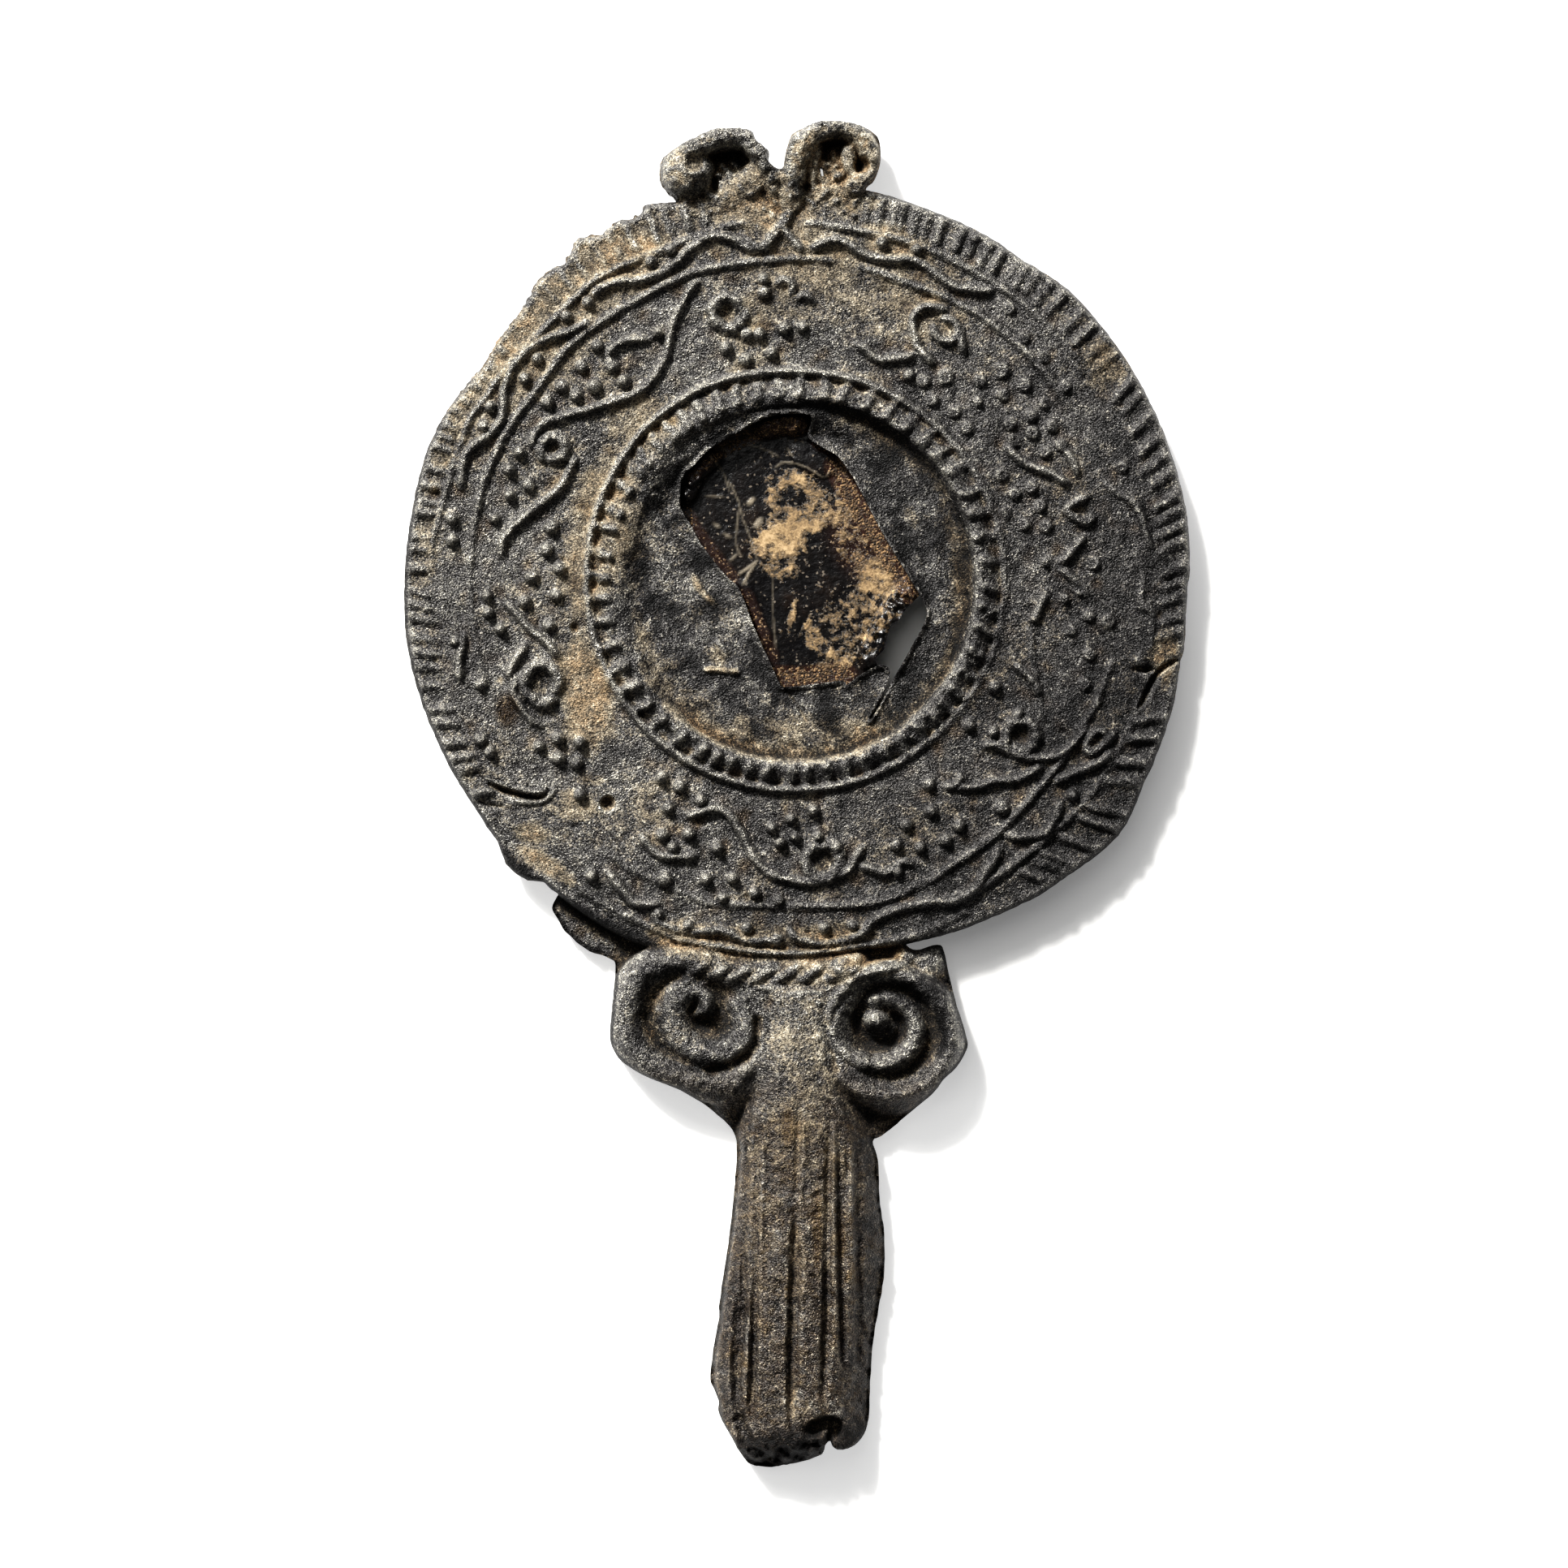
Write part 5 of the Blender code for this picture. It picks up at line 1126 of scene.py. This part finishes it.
    # brown stains in the hollows between the relief
    stains = blend_between(rough(2.4, 66), 0.0, 1.3) * blend_between(sunk, -0.03, 0.15) * (RADIUS > 16)
    rust = np.maximum(rust, 0.75 * stains)
    blot(rust, *on_disc(246, 28), 0.9, 1.3, 0.9)
    blot(rust, *on_disc(284, 33), 0.5, 0.5, 0.8)
    field = 1 - blend_between(RADIUS, 14.5, 15.8)
    painted_shade_and_patina = field * (0.2 + 0.3 * rough(1.4, 62) + 0.5 * rough(4, 63))
    painted_shade_and_patina += 0.1 * field * np.exp(-((X - 8.5) / 3.5) ** 2)
    # painted shade in the hollows of the relief
    painted_shade_and_patina = np.maximum(painted_shade_and_patina, 0.9 * blend_between(sunk, 0.12, 0.75) * (RADIUS > 15.0))
    # painted shade on the broken end of the handle, which faces away from the light, apart from a few
    # lighter spots
    end = -Y + 0.12 * X + 0.5 * rough(1.3, 31) + 0.3 * rough(0.5, 32)
    end = blend_between(end, 55.2, 57.4) * (stem_depth > 0)
    painted_shade_and_patina = np.maximum(painted_shade_and_patina, (1.1 - 0.6 * blend_between(rough(0.8, 33), 0.4, 1.6)) * end)
    # painted shade: the disc darkens towards the lower right, where the light falls off
    painted_shade_and_patina = painted_shade_and_patina + 0.2 * blend_between(X + 0.4 * (CENTRE[1] - Y), -10, 26) * (disc_depth > 0)
    painted_shade_and_patina = painted_shade_and_patina + 0.16 * blend_between(X + CENTRE[1] - Y, 20, 42) * (disc_depth > 0)
    # the handle's brown patina
    handle = blend_between(-Y, 22, 30) * (stem_depth > 0)
    painted_shade_and_patina = np.maximum(painted_shade_and_patina, handle * (0.1 + 0.25 * blend_between(np.abs(X - 0.3), 3.2, 6.0)))
    rust = np.maximum(rust, handle * (0.42 + 0.4 * rough(1.5, 64, (1.0, 0.1)) + 0.2 * rough(3.0, 65)))
    for x, y, half_x, half_y in (
            (1.8, -38.5, 0.5, 4.5), (3.9, -39.5, 0.5, 2.0), (-0.8, -29.5, 0.7, 2.0)):
        blot(rust, x, y, half_x, half_y, 0.9)
    # painted shade in the volutes' hollows, whose slopes face away from the light
    for hollow in (
        (-13.0, -19.5, 1.3, 3.6, 0.4), (-10.5, -15.9, 2.6, 0.8, 0.35), (-7.4, -20.3, 1.5, 1.6, 0.6),
        (10.8, -17.5, 2.5, 1.2, 0.7), (12.8, -20.8, 0.8, 2.5, 0.7), (7.4, -21.2, 1.6, 1.0, 0.7),
        (7.0, -24.8, 3.5, 0.6, 0.5), (-9.5, -24.0, 3.0, 0.6, 0.4),
    ):
        blot(painted_shade_and_patina, *hollow)
    # painted shadow at the foot of the ring's wall at the top, where the ring shades the field
    arc = disc_line([(turn, 15.7) for turn in (345, 0, 15, 30, 50, 62)])
    ridge(painted_shade_and_patina, arc, 0.7, 1.0, 0.8, ends=5.0)
    # painted shade on the side of the casting, darkest on its thin lip at the lower left
    side = (1 - blend_between(outer_depth, 0.1, 0.5)) * (outer_depth > -0.1)
    painted_shade_and_patina = np.maximum(painted_shade_and_patina, side * (0.4 + 0.6 * towards(200, -0.4, 0.4)))
    lip = smooth_line(((-27.4, -3.4), (-25.6, -5.9), (-23.8, -7.4), (-21.3, -9.2), (-16.5, -11.9),
                       (-12.0, -13.6)))
    ridge(painted_shade_and_patina, lip, 0.75, 1.2, 0.6, ends=3.0)
    blot(painted_shade_and_patina, *on_disc(246, 28), 0.9, 1.3, 0.45)
    blot(painted_shade_and_patina, *on_disc(247, 26), 0.5, 1.2, 0.5)
    return {"soil": soil, "worn": worn, "painted_shade_and_patina": painted_shade_and_patina, "rust": rust}


def glass_maps():
    """Maps of the tan crust, the brown earth and the cracks and scratches on the glass."""
    crust = np.zeros(X.shape)
    for spot in (
        (-0.3, 26.7, 2.6, 2.2, 0.68, 10), (-1.6, 22.6, 2.5, 2.0, 0.9, 20), (0.6, 24.4, 2.2, 1.2, 0.8, 0),
        (-1.4, 20.6, 2.0, 1.2, 0.62, 0),
        (7.2, 19.4, 1.9, 2.4, 0.7, 35), (5.0, 22.5, 1.6, 2.5, 0.5, 30), (5.8, 15.5, 3.4, 2.8, 0.46, 0),
        (1.6, 13.9, 0.9, 1.3, 0.8, 20), (3.6, 12.2, 2.4, 1.0, 0.62, 10),
        (-0.4, 16.2, 0.35, 1.8, 0.6, -12), (1.0, 15.4, 0.35, 1.5, 0.55, -30),
        (2.0, 19.0, 1.2, 0.8, 0.2, 0), (-3.6, 12.8, 0.8, 1.4, 0.4, 0),
        (3.6, 25.0, 1.6, 2.8, 0.5, 20), (-0.2, 26.6, 2.9, 2.6, 0.5, 0),
    ):
        blot(crust, *spot)
    dark = np.zeros(X.shape)
    for spot in (
        (-0.3, 26.6, 1.3, 0.9, 0.52, 10), (-2.4, 21.6, 1.3, 1.0, 0.2, 0), (2.2, 22.4, 0.9, 0.5, 0.5, 20),
        (1.5, 14.0, 0.4, 0.8, 0.45, 20), (-0.8, 21.0, 1.2, 0.6, 0.2, 0),
    ):
        blot(dark, *spot)
    crust = np.clip(crust - dark, 0, 1)
    brown = np.zeros(X.shape)
    press(brown, (
        (((3.2, 29.6), (4.3, 27.6), (6.2, 24.4), (8.6, 20.6), (10.6, 17.4)), 1.1, 0.8),
        (((3.9, 28.2), (5.6, 24.8), (8.0, 20.8), (9.8, 18.2)), 0.6, 1.0),
        (((-2.2, 10.6), (0.5, 10.5), (3.0, 10.8), (4.6, 10.9)), 1.1, 0.95),
        (((-9.6, 28.6), (-7.6, 30.4), (-5.0, 31.8), (-3.2, 32.4)), 0.9, 0.75),
        (((-9.9, 25.6), (-9.0, 23.9), (-7.2, 21.4), (-5.4, 19.2)), 0.6, 0.35),
        (((-4.7, 18.0), (-3.6, 15.2), (-2.2, 12.0)), 0.9, 0.35),
        (((3.4, 30.6), (2.4, 30.9), (1.6, 31.4)), 0.5, 0.8),
        (((-3.2, 32.7), (-1.6, 33.0), (0.4, 32.9)), 1.2, 0.75),
    ), 0.6)
    blot(brown, 5.2, 22.3, 2.0, 3.6, 0.3, 30)
    scratch = np.zeros(X.shape)
    press(scratch, (
        (((-6.1, 28.1), (-5.3, 26.4), (-4.8, 24.6), (-4.1, 22.8), (-3.5, 20.9)), 0.1, 0.35),
        (((-4.5, 31.3), (-2.8, 30.8), (-1.6, 30.2)), 0.1, 0.4),
        (((-2.0, 29.2), (-1.0, 29.7), (0.9, 29.2), (2.4, 28.3), (3.0, 29.1)), 0.1, 0.4),
        (((-2.1, 19.6), (-2.15, 17.0), (-1.9, 13.0)), 0.1, 0.25),
        (((-3.5, 20.9), (-4.1, 20.1), (-4.8, 18.8)), 0.14, 0.7),
        (((-5.2, 19.7), (-4.3, 20.3), (-3.5, 20.9)), 0.16, 0.7),
        (((-5.2, 25.6), (-5.4, 22.5), (-4.9, 21.2)), 0.1, 0.35), (((-8.2, 26.7), (-6.4, 26.6)), 0.1, 0.3),
        (((-7.9, 30.4), (-6.6, 28.8), (-6.0, 27.0)), 0.1, 0.3), (((-0.9, 31.0), (-0.4, 30.2)), 0.1, 0.6),
        (((-6.8, 31.0), (-6.1, 30.6)), 0.12, 0.6), (((-4.3, 26.0), (-3.9, 26.4)), 0.3, 0.9),
        (((-3.7, 24.0), (-3.2, 24.6)), 0.32, 0.8), (((-7.4, 24.2), (-6.9, 23.9)), 0.2, 0.5),
        (((-6.5, 23.3), (-5.9, 23.0)), 0.2, 0.45), (((-6.0, 20.9), (-5.3, 21.5)), 0.15, 0.5),
    ), 0.6, 0.3)
    return {"crust": crust, "brown": brown, "scratch": scratch}


def lead_piece():
    """The casting, in the place of its plain solid."""
    top = finished_top(lead_top())
    back = lead_back()
    casting = cast_solid("cast_lead_mirror", lead_depth, top, back, BLANK_PITCH, CASTING_TRIANGLES)
    for name, values in lead_maps(top).items():
        paint(casting, name, values, top, back, 0.25 if name == "soil" else 0.0)
    casting.data.materials.append(lead_material())
    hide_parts("lead_casting")
    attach(casting, "root")


def glass_piece():
    """The glass fragment, with its crust and earth, in the place of its plain solid."""
    broken = depth_inside(smooth_line(GLASS_BREAK, closed=True, step=0.2)) + 0.03 * rough(0.6, 71)
    depth = np.minimum(GLASS_RADIUS - RADIUS, -broken)
    crown = GLASS_CROWN - GLASS_DOME * (RADIUS / GLASS_RADIUS) ** 2
    # plates that lie loose on the cracks, and the thick glassy edge at the upper left
    plates = np.zeros(X.shape)
    for points, half, rise, power in (
        (((0.3, 30.6), (1.4, 30.0), (2.6, 29.3)), 1.3, 0.3, 0.3),
        (((-9.9, 26.4), (-9.3, 27.9), (-8.5, 29.1), (-7.3, 30.1)), 0.9, 0.95, 0.6),
        (((-4.9, 18.6), (-4.2, 16.6), (-3.0, 13.6)), 1.0, 0.18, 0.5),
        (((10.6, 18.4), (9.0, 16.2), (7.9, 14.2), (6.8, 12.0)), 1.6, 0.8, 0.5),
        # a lump of earth stands in the window's top corner
        (((-3.0, 32.7), (-1.6, 33.2), (0.3, 33.1)), 1.2, 1.5, 0.6),
    ):
        ridge(plates, smooth_line(points), half, rise, power)
    plates = (plates + 0.25 * rough(0.8, 73) * (plates > 0.5)) * blend_between(window_depth, -0.1, 0.3)
    top = crown + plates - rounded(depth, GLASS_ROUND) - np.abs(0.015 * rough(1.5, 72))
    back = crown - GLASS_THICKNESS + rounded(depth, GLASS_ROUND)
    glass = cast_solid("blown_mirror_glass", depth, top, back, BLANK_PITCH, GLASS_TRIANGLES)
    for name, values in glass_maps().items():
        paint(glass, name, values, top, back)
    glass.data.materials.append(glass_material())
    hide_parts("mirror_glass")
    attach(glass, "root")


def studio():
    """A pale table, a warm soft key from the upper left, a little fill, and the camera overhead."""
    scene = bpy.context.scene
    scene.view_settings.view_transform = "Standard"
    scene.view_settings.look = "Medium High Contrast"
    bpy.ops.object.select_all(action="DESELECT")
    bpy.ops.mesh.primitive_plane_add(size=3.0, location=(0, 0, -0.00005))
    table = bpy.context.object
    table.name = "table"
    material, tree = new_material("table_paper")
    place = add_node(tree, "TexCoord").outputs["Object"]
    fibre = add_node(tree, "TexNoise", {"Vector": place, "Scale": 900.0, "Detail": 3.0})
    bump = add_node(tree, "Bump", {"Height": fibre, "Strength": 0.2, "Distance": 0.0001})
    # the table glows a little, which is painted light, but not under the disc and beside its lower right
    # edge, which leaves painted shade there
    away = add_node(tree, "VectorMath", {0: place, 1: (0.011, 0.006, 0)}, operation="DISTANCE")
    painted_table_glow = add_node(tree, "MapRange", {"Value": away, "From Min": 0.011, "From Max": 0.034,
                                                 "To Max": 0.48})
    shader = add_node(tree, "BsdfPrincipled", {
        "Base Color": colour("#f4f4f3"), "Roughness": 0.9, "Normal": bump,
        "Emission Color": colour("#ffffff"), "Emission Strength": painted_table_glow})
    add_node(tree, "OutputMaterial", {"Surface": shader})
    table.data.materials.append(material)

    # the key stands 31 degrees above the table and 30 degrees to the left of the head; a panel and a
    # broad lamp on the same side soften it; all turn as (away from overhead, round the table)
    for name, power, size, lean, turn in (
            ("key", 4.9, 8, -59, 30), ("panel", 1.7, 20, -59, 32), ("broad", 0.6, 60, -45, 30)):
        light = bpy.data.lights.new(name, "SUN")
        light.energy = power
        light.angle = math.radians(size)
        light.color = (1.0, 0.985, 0.96)
        lamp = bpy.data.objects.new(name, light)
        lamp.rotation_euler = (math.radians(lean), 0.0, math.radians(turn))
        scene.collection.objects.link(lamp)

    world = bpy.data.worlds.new("studio_fill")
    world.use_nodes = True
    sky = world.node_tree.nodes["Background"].inputs
    sky["Color"].default_value = (0.97, 0.985, 1.0, 1.0)
    sky["Strength"].default_value = 0.06
    scene.world = world

    camera = bpy.data.cameras.new("overhead")
    camera.lens = LENS
    camera.sensor_width = FILM
    camera.clip_start = 0.01
    eye = bpy.data.objects.new("overhead", camera)
    eye.location = [distance * MM for distance in CAMERA_PLACE]
    scene.collection.objects.link(eye)
    scene.camera = eye


studio()
glass_piece()
lead_piece()
